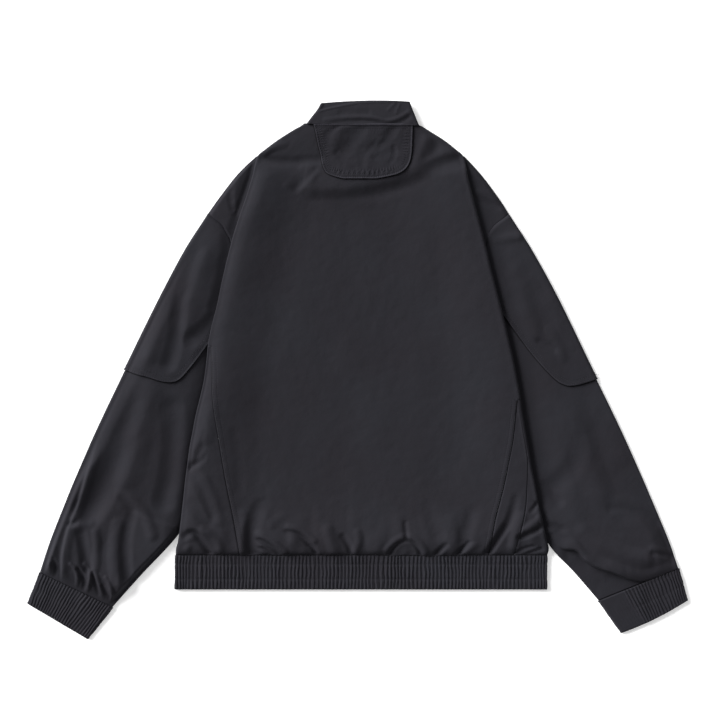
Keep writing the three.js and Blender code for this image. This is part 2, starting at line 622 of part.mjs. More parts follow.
// The overlay takes the sleeve's own rows and columns, from its outer fold to just inside the
// body's edge, and is cut off along its lower edge.
function sleevePatch(side) {
  const [first, last] = [-1, 9];
  const rings = SLEEVE_TS.map((t) => sleeveRing(side, t));
  const count = rings[0].length;
  const lift = CLOTH / 2 + OVERLAY_GAP + THIN_CLOTH / 2;
  const columns = Array.from({ length: last - first + 1 }, (_, i) => (i + first + count) % count);
  const lifted = (j, i) => rings[j][i].clone()
    .addScaledVector(normalAt(rings, j, i, true), -side.sign * lift);
  const top = columns.map((i) => lifted(0, i).lerp(lifted(1, i), 0.08));
  const grid = SLEEVE_TS.slice(1, 9).map((_, j) => columns.map((i) => lifted(j + 1, i)));
  const sheet = wall([top, ...grid], { thickness: THIN_CLOTH, flip: side.sign > 0 });

  const edge = PATCH_EDGE[side.name];
  const outline = [...edge, { x: edge.at(-1).x, y: 400 }, { x: edge[0].x, y: 400 }];
  const kept = new THREE.Shape(outline.map(({ x, y }) => new THREE.Vector2(x, y)));
  const block = new THREE.ExtrudeGeometry(kept, { depth: 60, bevelEnabled: false });
  block.translate(0, 0, -20);
  return geometryOf(solidOf(sheet).intersect(solidOf(sharedPoints(block))));
}

// A ribbed cuff: a flat tube from the sleeve's end to the wrist.
function cuff(side) {
  const start = { outer: sleevePlace(side, 0, 1), inner: sleevePlace(side, 1, 1) };
  const finish = CUFF_END[side.name];
  const ribSteps = CUFF_RIBS * 2 + 1;
  const ring = (v) => {
    const outer = { x: lerp(start.outer.x, finish.outer_x, v), y: lerp(start.outer.y, finish.outer_y, v) };
    const inner = { x: lerp(start.inner.x, finish.inner_x, v), y: lerp(start.inner.y, finish.inner_y, v) };
    const width = Math.hypot(inner.x - outer.x, inner.y - outer.y);
    const radius = (lerp(CUFF_LEVEL, 4.6, v) - FLOOR_LEVEL) / 2;
    const [from, to] = [CLOTH / 2 + radius, width - CLOTH / 2 - radius];
    const at = (w, z, rise = 0) => point(lerp(outer.x, inner.x, w / width),
      lerp(outer.y, inner.y, w / width), z, rise);
    const top = steps(ribSteps).map((u, i) => at(lerp(from, to, u), FLOOR_LEVEL + 2 * radius,
      i % 2 === 1 ? RIB_RISE : 0));
    const turn = (w, away) => [0.25, 0.5, 0.75].map((u) => at(w + away * radius * Math.sin(u * Math.PI),
      FLOOR_LEVEL + radius + away * radius * Math.cos(u * Math.PI)));
    const under = steps(4).map((u) => at(lerp(to, from, u), FLOOR_LEVEL));
    return [...top, ...turn(to, 1), ...under, ...turn(from, -1)];
  };
  const rings = [0.004, 0.5, 1].map(ring);
  return wall(rings, { ring: true, flip: side.sign > 0 });
}

// ---------------------------------------------------------------- hem band, collar, neck flap

// Rows of a band that is split at the zip: under its left half, round, over and under again.
function splitBand({ left, right, level, under, split, topSteps, rise }) {
  const radius = (level - under) / 2;
  const [from, to] = [left + CLOTH / 2 + radius, right - CLOTH / 2 - radius];
  const turn = (x, away) => [0.25, 0.5, 0.75].map((u) => ({
    x: x + away * radius * Math.sin(u * Math.PI),
    z: under + radius + away * radius * Math.cos(u * Math.PI),
  }));
  const underside = (a, b) => steps(4).map((u) => ({ x: lerp(a, b, u), z: under, below: true }));
  const top = steps(topSteps).map((u, i) => ({ x: lerp(from, to, u), z: level, rise: rise(i) }));
  return [...underside(split - ZIP_HALF_OPENING, from), ...turn(from, -1), ...top,
    ...turn(to, 1), ...underside(to, split + ZIP_HALF_OPENING)];
}

function hemBand() {
  const rows = table("y left right level",
    [HEM_SEAM_Y - SEAM_GAP, -268.3, 277.3, BAND_LEVEL], [HEM_Y, -269.3, 277.6, 5]);
  return wall(rows.map(({ y, left, right, level }) => splitBand({
    left, right, level, under: FLOOR_LEVEL, split: zipX(y), topSteps: HEM_RIBS * 2,
    rise: (i) => (i % 2 === 1 ? RIB_RISE : 0),
  }).map(({ x, z, rise }) => point(x, y, z, rise))));
}

function collar() {
  const rows = table("v left right level",
    [0, -53, 76, 9.6], [0.3, -58, 80, 10.4], [0.65, -66, 85, 10.6], [1, -76, 90, 10]);
  const topEdge = (x) => 395 - 2.4 * ((x - 25) / 62) ** 2;
  const backSeam = (x) => NECK_Y - 0.015 * (x - 8) + 0.1;
  const frontSeam = (x) => 338.6 + 22 * clamp(Math.abs(x - 8) / 72, 0, 1) ** 2;
  return wall(rows.map(({ v, left, right, level }) => splitBand({
    left, right, level, under: FLOOR_LEVEL + SLIDER_LIFT * 0.85, split: zipX(370), topSteps: 12,
    rise: () => 0,
  }).map(({ x, z, below }) => {
    const y = lerp(topEdge(x), below ? frontSeam(x) : backSeam(x), v);
    return point(x, y, below ? FLOOR_LEVEL + frontLift(x, y) : z);
  })));
}

// Level of the back's own wall at a place, between its grid's points.
function backLevel(x, y) {
  const j = clamp(BACK_GRID.findLastIndex((row) => row[0].y >= y), 0, BACK_GRID.length - 2);
  const levelIn = (row) => {
    const i = clamp(row.findLastIndex((p) => p.x <= x), 0, row.length - 2);
    return lerp(row[i].z, row[i + 1].z, (x - row[i].x) / (row[i + 1].x - row[i].x));
  };
  const [above, below] = [BACK_GRID[j], BACK_GRID[j + 1]];
  return lerp(levelIn(above), levelIn(below), (above[0].y - y) / (above[0].y - below[0].y));
}

function neckFlap() {
  const lift = CLOTH / 2 + OVERLAY_GAP + THIN_CLOTH / 2;
  const grid = NECK_FLAP.map(({ y, left, right }) => steps(14).map((u) => {
    const x = lerp(left, right, u);
    return point(x, y, backLevel(x, y) + lift);
  }));
  return wall(grid, { thickness: THIN_CLOTH });
}

// ---------------------------------------------------------------- zip

const ZIP_ROWS = [-318, -180, -20, 140, 290, 318, 326, 334, 342, 350, 358];

function zipTape(side) {
  const grid = [...ZIP_ROWS, 367, 371, 391].reverse().map((y) => {
    const inner = y > 368 ? 5.4 : CHAIN_HALF + 0.4;
    return [inner, TAPE_EDGE].map((away) => {
      const x = zipX(y) + side.sign * away;
      return point(x, y, 2 + frontLift(x, y));
    });
  });
  return wall(grid, { thickness: THIN_CLOTH, flip: side.sign < 0 });
}

function zipChain() {
  const grid = [...ZIP_ROWS, SLIDER_Y - SLIDER_LENGTH / 2 - SEAM_GAP].reverse().map((y) =>
    [-CHAIN_HALF, CHAIN_HALF].map((away) => point(zipX(y) + away, y, 1.7 + frontLift(zipX(y), y))));
  return wall(grid, { thickness: 2.6 });
}

const BRIDGE_Z = 2; // middle of the bar that the pull hangs on
const BAR_RADIUS = 0.7;
const CHEEK_INNER = 2.7;
const CHEEK = 1.2;

function zipSlider() {
  const bodyTop = FLOOR_LEVEL + SLIDER_LIFT + 3.2;
  const bodyBottom = SLIDER_LIFT - 0.5;
  const outline = new THREE.Shape([[-3.2, -6], [3.2, -6], [4.7, 0], [4.7, 4], [3, 6], [-3, 6], [-4.7, 4],
    [-4.7, 0]].map(([x, y]) => new THREE.Vector2(x, y)));
  const body = new THREE.ExtrudeGeometry(outline, { depth: bodyTop - bodyBottom, bevelEnabled: false });
  body.translate(0, 0, bodyBottom);
  const cheeks = [-1, 1].map((sign) => {
    const height = bodyBottom + 0.4 - (BRIDGE_Z - 1);
    const cheek = new THREE.BoxGeometry(CHEEK, 3, height);
    return cheek.translate(sign * (CHEEK_INNER + CHEEK / 2), 0, BRIDGE_Z - 1 + height / 2);
  });
  const bar = new THREE.CylinderGeometry(BAR_RADIUS, BAR_RADIUS, 2 * CHEEK_INNER + CHEEK, 12);
  bar.rotateZ(Math.PI / 2).translate(0, 0, BRIDGE_Z);
  const slider = joined(...[body, ...cheeks, bar].map(sharedPoints));
  return slider.translate(zipX(SLIDER_Y), SLIDER_Y, 0);
}

// The pull: an eye round the bar and a flat tab, its tip just above the floor.
function zipPull() {
  const [eye, hole, length, half, width] = [1.75, 1, 24, 0.7, 4.6];
  const start = Math.asin(half / eye);
  const profile = new THREE.Shape();
  profile.moveTo(length, -half);
  profile.lineTo(length, half);
  profile.absarc(0, 0, eye, start, 2 * Math.PI - start, false);
  profile.closePath();
  profile.holes.push(new THREE.Path().absarc(0, 0, hole, 0, 2 * Math.PI, true));
  const pull = new THREE.ExtrudeGeometry(profile, { depth: width, bevelEnabled: false, curveSegments: 10 });
  pull.translate(0, 0, -width / 2).rotateY(Math.PI / 2).rotateX(-Math.PI / 2);
  const tilt = Math.asin((BRIDGE_Z - half - 0.15) / length);
  pull.rotateX(tilt).translate(zipX(SLIDER_Y), SLIDER_Y, BRIDGE_Z);
  return pull;
}

// ---------------------------------------------------------------- the jacket

const material = (color, roughness, metalness = 0) => new THREE.MeshStandardMaterial({
  color, roughness, metalness, side: THREE.DoubleSide });
const CLOTH_FINISH = material(0x2b2d33, 0.75);
const RIB_FINISH = material(0x282a2f, 0.85);
const TAPE_FINISH = material(0x232428, 0.9);
const METAL_FINISH = material(0x2a2a2c, 0.4, 0.9);

const group = new THREE.Group();
function add(name, geometry, finish) {
  const mesh = new THREE.Mesh(geometry, finish);
  mesh.name = name;
  group.add(mesh);
}

add("back", back(), CLOTH_FINISH);
add("neck_flap", neckFlap(), CLOTH_FINISH);
add("side_left", sideLeft(), CLOTH_FINISH);
add("side_right", sideRight(), CLOTH_FINISH);
add("front_left", frontSheet(SIDES[0]), CLOTH_FINISH);
add("front_right", frontRight(), CLOTH_FINISH);
for (const side of SIDES) {
  add(`sleeve_${side.name}`, sleeve(side), CLOTH_FINISH);
  add(`sleeve_patch_${side.name}`, sleevePatch(side), CLOTH_FINISH);
  add(`cuff_${side.name}`, cuff(side), RIB_FINISH);
  add(`zip_tape_${side.name}`, zipTape(side), TAPE_FINISH);
}
add("hem_band", hemBand(), RIB_FINISH);
add("collar", collar(), CLOTH_FINISH);
add("zip_chain", zipChain(), METAL_FINISH);
add("zip_slider", zipSlider(), METAL_FINISH);
add("zip_pull", zipPull(), METAL_FINISH);

export default group;
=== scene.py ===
import bmesh
import bpy
import numpy as np
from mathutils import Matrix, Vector


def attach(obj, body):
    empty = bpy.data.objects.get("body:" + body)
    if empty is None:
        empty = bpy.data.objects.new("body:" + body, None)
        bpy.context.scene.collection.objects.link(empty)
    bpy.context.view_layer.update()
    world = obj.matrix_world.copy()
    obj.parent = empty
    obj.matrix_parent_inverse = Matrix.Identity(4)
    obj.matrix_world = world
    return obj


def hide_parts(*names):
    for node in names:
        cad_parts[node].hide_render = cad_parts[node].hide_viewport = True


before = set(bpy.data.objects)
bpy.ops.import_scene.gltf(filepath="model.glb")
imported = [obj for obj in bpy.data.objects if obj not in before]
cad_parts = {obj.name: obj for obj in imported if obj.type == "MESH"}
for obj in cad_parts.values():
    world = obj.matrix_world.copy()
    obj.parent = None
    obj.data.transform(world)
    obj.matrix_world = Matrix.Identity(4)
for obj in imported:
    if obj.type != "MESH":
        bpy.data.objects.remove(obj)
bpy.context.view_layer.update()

# A utility jacket laid flat with its back up. Shapes are worked out in millimetres, +Y towards the
# collar and +Z up, and put into the meshes in metres. "left" is the wearer's left, at -X.

MM = 0.001
CLOTH = 0.6  # thickness of one layer of the shell cloth
FLOOR_LEVEL = 0.6  # middle of a layer that lies on the floor
FLAP_LIFT = 4.7  # rise of the body's under layer over the sleeve
HIDDEN_SLEEVE = 2.2  # level of the sleeve's top where the body covers it
SHOULDER_UNDER = 3.8  # level of the pleat's lowest layer
NECK_X = 8  # middle of the neck
NECK_Y = 360.5
NOTCH_Y = 316
SHOULDER_END_Y = 230
UNDERARM_Y = 36
SIDE_APEX_RIGHT_Y = -44
HEM_SEAM_Y = -271.5
HEM_Y = -322
CLOSE_ROWS_Y = -188  # below it rows lie closer together, for the gathers
ZIP_LENGTH = 717
ZIP_END_Y = -318
PLEAT_RETURN = 13
SHORT_TAIL = 3.7  # how far the back goes on past its fold near the neck and below the underarm
HEM_RIBS = 98
CUFF_RIBS = 25
BAND_LEVEL = 5.3
CUFF_LEVEL = 5.0
SLIDER_Y = 378
SLIDER_LIFT = 4.6
OVERLAY_LIFT = 1.75  # rise of a piece sewn on another
SEAM_GAP = 0.15  # from a seam's middle to the cloth on either side
SEAM_SLANT = 0.97  # width square to a side seam for 1 mm along X
STITCH_PITCH = 3.4
STITCH_LENGTH = 2.3
SLEEVE_LENGTH = 560  # along the cloth
CUFF_DEPTH = 52
HEM_WIDTH = 541
FAR = 900.0  # a distance that no pattern reaches
SIGN = {"left": -1, "right": 1}
APEX = {"left": UNDERARM_Y, "right": SIDE_APEX_RIGHT_Y}  # top of each side seam


# ---------------------------------------------------------------- tables

def table(columns, *rows):
    """One array for each named column."""
    return dict(zip(columns.split(), np.array(rows, float).T))


def crease_rows(*rows):
    """A table of creases. A crease that leans to neither side leaves its lean out."""
    whole = [row if len(row) == 10 else (*row, 0) for row in rows]
    return table("x0 y0 xm ym x1 y1 h0 h1 width lean", *whole)


# Outline of the body's folded edges, collar to hem.
BODY_EDGE = table(
    "y left right",
    (361.5, -76, 88), (353, -92.5, 101), (338, -116.5, 125), (323, -136.5, 144), (314, -147, 154),
    (280, -156, 162), (220, -176, 178), (160, -193, 193), (100, -206, 208), (44, -219, 222),
    (-15, -226, 234), (-75, -240, 244), (-135, -250, 254), (-195, -257, 265), (-250, -264, 277),
    (-262, -267, 280), (-271.5, -267.5, 278),
)

# Outline of each drop shoulder, from the notch to the armhole.
SHOULDER_EDGE = table(
    "y left right",
    (316, -147.5, 154.5), (298, -167, 171.5), (281, -182.7, 186), (263, -196.7, 199.4),
    (246, -209.3, 211.6), (230, -220.5, 221.5),
)

# Seams between the back and each side panel, then the seam from side to front at the right.
BACK_SEAM = {
    "left": table("y x", (37, -216.4), (18, -215.4), (-44, -213), (-103, -204), (-162, -194),
                  (-220, -182), (-271.5, -173)),
    "right": table("y x", (-44, 234), (-103, 227.6), (-132, 222), (-162, 216), (-191, 209),
                   (-220, 201.5), (-271.5, 192)),
}
FRONT_SEAM_RIGHT = table("y x", (-44, 237.4), (-80, 242.6), (-118, 248.3), (-191, 247),
                         (-220, 242.6), (-260, 232.3), (-271.5, 229))

# Armholes from the end of the shoulder (s = 0) to the underarm (s = 1).
ARMHOLE = {
    "left": table("s x y", (0, -220.5, 230), (0.12, -195, 209), (0.26, -184, 183), (0.44, -180, 146),
                  (0.68, -181, 96), (0.87, -185, 60), (1, -187, 36)),
    "right": table("s x y", (0, 221.5, 229), (0.12, 196.5, 209), (0.26, 186, 183), (0.44, 183, 146),
                   (0.68, 185, 96), (0.87, 189, 60), (1, 191, 36)),
}

# Outer and inner outline of each sleeve, from the armhole (t = 0) to the cuff (t = 1).
SLEEVE = {
    "left": table(
        "t outer_x outer_y inner_x inner_y",
        (0, -220.5, 230, -187, 36), (0.12, -254.5, 174, -191, 15), (0.26, -292, 103, -197, -10),
        (0.44, -342.5, 0, -213, -60), (0.6, -384.5, -88, -234, -137),
        (0.72, -414.5, -156, -252, -218), (0.78, -428.5, -190, -266, -245),
        (0.9, -452, -250, -317, -300), (1, -467.5, -297, -360, -348),
    ),
    "right": table(
        "t outer_x outer_y inner_x inner_y",
        (0, 221.5, 229, 191, 36), (0.12, 256, 173, 197, 15), (0.26, 294, 103, 205, -10),
        (0.44, 344, 0, 218, -60), (0.6, 386.5, -88, 239, -137), (0.72, 417.5, -157, 261, -220),
        (0.78, 432, -191, 281, -258), (0.9, 456.5, -250, 318, -298), (1, 470.5, -291, 353, -338.5),
    ),
}
CUFF_END = {"left": (-485, -343, -397, -395), "right": (484, -338, 387, -386)}

# Lower edge of each sleeve overlay, from its left end to its right end.
PATCH_EDGE = {
    "left": table("x y", (-520, 4), (-345, 0), (-325, -6), (-306, -11), (-293, -15.5),
                  (-280, -18), (-268, -17), (-259, -11.5), (-240, 11), (-221, 38), (-200, 68),
                  (-170, 110)),
    "right": table("x y", (170, 140), (196, 105), (215, 77.5), (239.5, 44), (256, 22.5), (271, 5),
                   (284, -9), (294, -17.5), (303, -22), (311, -23.5), (323, -22), (336, -18.5),
                   (352, -14), (520, -14)),
}

# Level of the body's upper layer in its middle and near its folded edges.
TOP_LEVEL = table(
    "y middle edge",
    (361, 9.8, 8.4), (340, 9.2, 8.4), (313, 7.6, 8.6), (280, 6.6, 8.8), (230, 5.8, 9),
    (150, 5.2, 9), (40, 5, 9), (-60, 5, 9), (-150, 5.8, 9), (-200, 7.6, 9.6),
    (-232, 10.6, 11), (-250, 12, 11), (-263, 11.4, 10.4), (-268.5, 9.4, 8.8), (-271.5, 6, 5.8),
)
SLEEVE_LEVEL = table("t z", (0, 5.6), (0.1, 7.4), (0.3, 8), (0.6, 8.2), (0.78, 9), (0.88, 11),
                     (0.95, 11.5), (1, 5.2))

# Creases, each from a start through a middle to an end: a ridge, or with a negative height a
# trough, with its height at both ends, the reach to either side and how far it leans.
BODY_CREASES = crease_rows(
    # shoulders and neck
    (150, 308, 112, 299, 76, 280, -1.9, -1.5, 17, 0.1),
    (76, 280, 40, 264, 0, 259, -1.5, -0.6, 17),
    (135, 318, 108, 307, 84, 294, 1.3, 0.8, 13),
    (100, 337, 93, 322, 86, 306, 1.5, 0.7, 11),
    (116, 330, 110, 318, 102, 310, -1.2, -0.6, 9),
    (-137, 319, -122, 327, -108, 331, 1.8, 0.8, 8),
    (-142, 309, -111, 305, -58, 308, -1.7, -1.3, 10),
    (-92, 265, -77, 280, -62, 295, -0.6, -0.6, 7),
    (-84, 262, -70, 276, -58, 290, 0.35, 0.35, 6),
    (-104, 270, -90, 284, -80, 296, 0.4, 0.4, 8),
    # along the left side
    (-250, -146, -238, -139, -226, -130, -3, -1, 8, 0.3),
    (-246, -132, -238, -112, -228, -90, 1.2, 0.6, 11),
    (-234, -124, -232, -118, -229, -112, -1.2, -0.8, 9),
    (-222, -100, -218, -80, -216, -58, 0.8, 0.5, 14),
    (-180, -92, -176, -130, -173, -176, -0.35, -0.5, 11),
    (-240, -150, -226, -178, -214, -214, -0.9, -1.2, 13),
    (-226, -160, -212, -190, -202, -222, 0.8, 1, 12),
    (-242, -196, -232, -212, -222, -226, -1, -1.6, 14),
    # gathers above the hem, left to right
    (-254, -244, -242, -238, -232, -247, -2.4, -3.4, 8),
    (-232, -247, -224, -258, -217, -271, -3.4, -3.8, 8),
    (-226, -234, -212, -245, -203, -262, 1.4, 1.8, 10),
    (-250, -262, -244, -258, -236, -262, 1.4, 0.8, 7),
    (-168, -212, -168, -237, -169, -264, 0.9, 1.6, 10),
    (-143, -196, -156, -226, -156, -270, -0.9, -4, 15, 0.2),
    (-147, -240, -128, -249, -107, -266, 1.2, 1.8, 7),
    (-149, -248, -131, -256, -113, -271, -2.6, -3, 6),
    (-149, -261, -138, -262, -124, -271, -2.2, -2.2, 5),
    (-126, -226, -120, -220, -110, -214, 0.9, 0.5, 10),
    (-102, -230, -82, -236, -64, -250, 0.8, 1.6, 7),
    (-104, -237, -86, -242, -71, -256, -1.2, -2.8, 6),
    (-71, -256, -65, -262, -61, -271, -3.2, -3.4, 5.5),
    (-96, -250, -86, -256, -80, -268, 0.8, 1.4, 10),
    (-44, -236, -38, -250, -34, -268, 1.4, 1.8, 13),
    (-22, -244, -14, -257, -9, -271, -1.8, -3, 7),
    (0, -238, 1, -252, -6, -268, 1, 1.6, 8),
    (18, -232, 22, -246, 24, -264, 0.5, 1.6, 15),
    (69, -224, 70, -238, 72, -250, -1.2, -2.2, 5),
    (42, -264, 55, -250, 70, -243, 1.6, 0.9, 7),
    (70, -243, 86, -249, 99, -266, 0.9, 1.6, 7),
    (45, -271, 57, -257, 71, -250, -3, -1.8, 5.5),
    (71, -250, 82, -255, 93, -271, -1.8, -3.2, 5.5),
    (60, -266, 70, -259, 80, -266, -1.4, -1.4, 11),
    (104, -202, 108, -222, 117, -240, -0.4, -1.2, 15),
    (134, -222, 138, -239, 136, -260, 0.4, 1.4, 14),
    (112, -271, 120, -264, 129, -256, -3.2, -1.4, 5.5),
    (120, -272, 129, -264, 138, -258, 1.4, 0.8, 6),
    (145, -271, 153, -262, 162, -252, -4, -2.4, 6),
    (153, -272, 162, -264, 172, -256, 1.6, 0.8, 7),
    (156, -250, 160, -230, 172, -204, -1.7, -0.4, 14),
    (190, -271, 204, -250, 218, -229, -5.2, -3.6, 8, 0.2),
    (218, -229, 226, -208, 231, -188, -2.8, -0.8, 9),
    (240, -214, 233, -236, 227, -258, 1.2, 1.8, 10),
    (236, -246, 255, -238, 272, -228, -2.6, -3.4, 6.5),
    (238, -236, 252, -228, 266, -217, 1.6, 1.2, 7),
    (265, -194, 260, -200, 254, -207, -2.4, -1, 5.5),
    (231, -268, 243, -262, 257, -258, -2.2, -1.8, 4.5),
    (245, -271, 256, -266, 268, -262, -2.2, -1.8, 4.5),
)

SLEEVE_CREASES = {
    "left": crease_rows(
        (-186, 214, -184, 190, -185, 158, -1.2, -2.8, 19),
        (-185, 158, -188, 128, -199, 92, -2.8, -3.3, 24),
        (-199, 92, -213, 68, -243, 46, -3.3, -2, 19),
        (-224, 168, -238, 115, -250, 62, 0.7, 0.8, 17),
        (-236, 168, -255, 120, -263, 80, -0.6, -1.7, 15),
        (-263, 80, -268, 44, -277, 10, -1.7, -2, 16),
        (-278, 108, -292, 62, -305, 20, 0.6, 0.8, 15),
        (-306, -30, -320, -100, -338, -160, 0.9, 1.2, 24),
        (-273, -56, -271, -120, -284, -192, -1.4, -2.5, 22),
        (-322, -22, -336, -62, -351, -100, -1, -2.6, 26),
        (-351, -100, -364, -146, -395, -204, -2.6, -6, 30),
        (-420, -226, -411, -221, -402, -217, -2.6, -1.2, 7),
        (-408, -226, -398, -226, -390, -224, 1.2, 0.8, 7),
        (-348, -181, -318, -203, -301, -242, 1.4, 1.6, 11),
        (-356, -176, -342, -190, -330, -206, -1, -1.2, 9),
        (-352, -226, -357, -268, -352, -312, 1.4, 2, 13),
        (-332, -214, -340, -252, -338, -304, -1.2, -2, 12),
        (-405, -240, -400, -268, -396, -290, -2, -2.8, 11),
        (-384, -238, -382, -262, -384, -290, 1.4, 1.6, 9),
        (-420, -284, -411, -298, -413, -318, 1.4, 2.4, 4.5),
        (-410, -292, -401, -309, -404, -323, -1.6, -3.2, 5),
        (-400, -284, -392, -300, -398, -326, 1.4, 2.6, 4.5),
        (-389, -296, -385, -312, -380, -328, -1, -2.4, 4.5),
        (-386, -290, -378, -316, -374, -334, 1.2, 2, 4.5),
        (-374, -316, -369, -326, -364, -336, -1.2, -2.4, 4.5),
        (-369, -304, -360, -324, -363, -342, 1.2, 2.2, 4.5),
        (-456, -276, -452, -286, -453, -300, 1, 1.8, 4.5),
        (-447, -276, -443, -288, -445, -304, -1, -2.2, 4.5),
    ),
    "right": crease_rows(
        (240, 198, 221, 194, 204, 191, 1.2, 0.8, 9),
        (243, 178, 260, 122, 276, 66, -0.3, -0.9, 22),
        (225, 166, 242, 110, 258, 54, 0.3, 0.5, 18),
        (266, 42, 276, 36, 288, 30, -0.9, -0.6, 8),
        (280, 60, 292, 40, 300, 18, 0.4, 0.4, 10),
        (312, -60, 332, -120, 352, -180, 0.7, 1.1, 26),
        (350, -96, 372, -150, 392, -206, -0.4, -0.7, 26),
        (326, -104, 314, -142, 276, -178, -0.6, -1.6, 20),
        (372, -203, 404, -208, 436, -224, -1, -0.8, 12),
        (384, -190, 416, -196, 440, -208, 0.5, 0.4, 11),
        (432, -269, 446, -271, 460, -274, -0.9, -0.7, 6),
        (430, -261, 445, -263, 460, -266, 0.5, 0.4, 6),
        (274, -172, 284, -182, 294, -193, -2, -1.4, 12),
        (283, -229, 291, -230, 300, -233, -2.2, -1, 8),
        (330, -236, 370, -262, 420, -276, 1.4, 1.6, 16),
    ),
}

# The left sleeve's long pleat beside its outer fold, and the edge of the right sleeve's puff
# where it hangs over the cuff.
PLEAT_LINE = table("y x", (-90, -378), (-146, -395), (-197, -410.5), (-237, -425.5), (-268, -432),
                   (-305, -434.5))
PUFF_LINE = table("x y", (286, -256), (302, -262.5), (320.7, -265.3), (335.8, -280.5),
                  (353.6, -290.6), (376.4, -298.2), (399.1, -307.1), (416.9, -310), (439.6, -304),
                  (467.5, -293.2))

FLAP_CREASES = crease_rows(
    (-20, 358, -30, 342, -40, 322, 1.1, 0.6, 11),
    (-29, 359, -37, 352, -46, 346, -0.9, -0.3, 7),
    (4, 352, -6, 338, -18, 322, -1.1, -0.9, 14),
    (54, 356, 42, 340, 22, 325, -1.1, -0.7, 11),
    (34, 338, 30, 334, 26, 322, 0.6, 0.3, 6),
    (53, 326, 53, 314, 48, 305, -0.7, -0.4, 6),
    (-30, 318, -18, 308, -6, 298, -0.6, -0.4, 8),
    (24, 322, 18, 312, 14, 300, 0.6, 0.4, 9),
)
COLLAR_CREASES = crease_rows(
    (-48, 366, 4, 370.5, 39, 364, 0.5, 1, 5.5),
    (39, 364, 58, 368, 76, 379, 1, 0.7, 5.5),
    (-38, 362, -12, 365, 16, 365, -0.2, -0.7, 5),
    (16, 365, 28, 364, 42, 361.5, -0.7, -0.9, 5),
    (42, 361.5, 58, 362, 74, 371, -0.9, -0.9, 6),
    (-24, 377, -4, 377, 14, 377, -0.5, -0.5, 8),
    (44, 381, 50, 387, 54, 391, 0.4, 0.4, 3.5),
    (56, 377, 59, 384, 61, 389, 0.4, 0.4, 3.5),
)
# Edge of the collar's outer layer near its top left corner; the inner one shows beyond.
COLLAR_STEP = table("x y", (-66, 379), (-55, 381), (-41, 384.5), (-15, 390), (4, 393), (90, 396))

SHOULDER_CREASES = {
    "left": crease_rows(
        (-148, 306, -162, 268, -176, 230, -1.2, -1.6, 9),
        (-186, 262, -187, 250, -184, 236, -1, -1.2, 7),
        (-176, 288, -180, 270, -186, 256, 0.8, 0.8, 8),
    ),
    "right": crease_rows(
        (172, 251, 188, 246, 206, 240, -1.2, -1, 8),
        (176, 262, 190, 257, 200, 252, 0.8, 0.6, 7),
    ),
}
FRONT_CREASES = {
    side: crease_rows(
        (sign * 60, 250, sign * 84, 180, sign * 92, 100, 0.8, 1.2, 16),
        (sign * 120, 60, sign * 110, -20, sign * 118, -90, 1, 0.8, 18),
        (sign * 44, -150, sign * 60, -200, sign * 58, -262, 0.8, 1.4, 14),
        (sign * 150, -170, sign * 138, -215, sign * 142, -264, 0.8, 1.4, 12),
        (sign * 96, -190, sign * 100, -225, sign * 94, -266, 0.6, 1.2, 10),
        (sign * 172, 190, sign * 140, 170, sign * 110, 160, 0.9, 0.5, 12),
    )
    for side, sign in SIGN.items()
}

# Neck flap, hanging from the collar seam: its edges down to the rounded lower corners.
NECK_FLAP = table("y left right",
                  (359.8, -65, 80.4), (350, -62.5, 80.2), (338, -60, 79.7), (326, -57.4, 79.2),
                  (317, -55, 78.6), (305, -53, 76), (295, -50, 70), (288, -45, 60), (283.5, -34, 44),
                  (280.4, -22, 26))


# ---------------------------------------------------------------- small functions

def smooth(u):
    """0 below 0, 1 above 1, and 3u^2 - 2u^3 between."""
    u = np.clip(u, 0, 1)
    return u * u * (3 - 2 * u)


def lerp(a, b, u):
    """From a to b as u goes from 0 to 1."""
    return a + (b - a) * u


def shares(count):
    """Even shares from 0 to 1 across a sheet."""
    return np.linspace(0, 1, count)[None, :]


def rows_down(*stretches):
    """Rows down a sheet, in even stretches of (first, last, count)."""
    return np.concatenate([np.linspace(*stretch) for stretch in stretches])[:, None]


def half_turn(count):
    """Angles of a half turn without its two ends."""
    return np.linspace(0, np.pi, count)[None, 1:-1]


def places(x, y, z):
    """Points of a sheet from their three coordinates."""
    return np.stack(np.broadcast_arrays(x, y, z), -1)


def run_across(x, z):
    """Length along each row of a sheet from its first column."""
    return np.cumsum(np.hypot(*(np.diff(part, axis=1, prepend=part[:, :1]) for part in (x, z))), 1)


def bump(distance, width):
    """1 at no distance, 0 from the width on, and (1 - (d / width)^2)^2 between."""
    u = np.clip(np.abs(distance) / width, 0, 1)
    return (1 - u * u) ** 2


def along(rows, key, column, at):
    """A column's value where the key column is `at`, on cubic curves through the rows whose slope
    at a row is that between its two neighbours."""
    keys, values = rows[key], rows[column]
    turn = 1 if keys[-1] > keys[0] else -1
    last = len(keys) - 1
    low, high = np.maximum(np.arange(last + 1) - 1, 0), np.minimum(np.arange(last + 1) + 1, last)
    slope = (values[high] - values[low]) / (keys[high] - keys[low])
    at = np.asarray(at, float)
    i = np.clip(np.searchsorted(turn * keys, turn * at, side="right") - 1, 0, last - 1)
    span = keys[i + 1] - keys[i]
    t = np.clip((at - keys[i]) / span, 0, 1)
    rise = values[i] + (values[i + 1] - values[i]) * t * t * (3 - 2 * t)
    return rise + span * (slope[i] * t * (1 - t) ** 2 - slope[i + 1] * t * t * (1 - t))


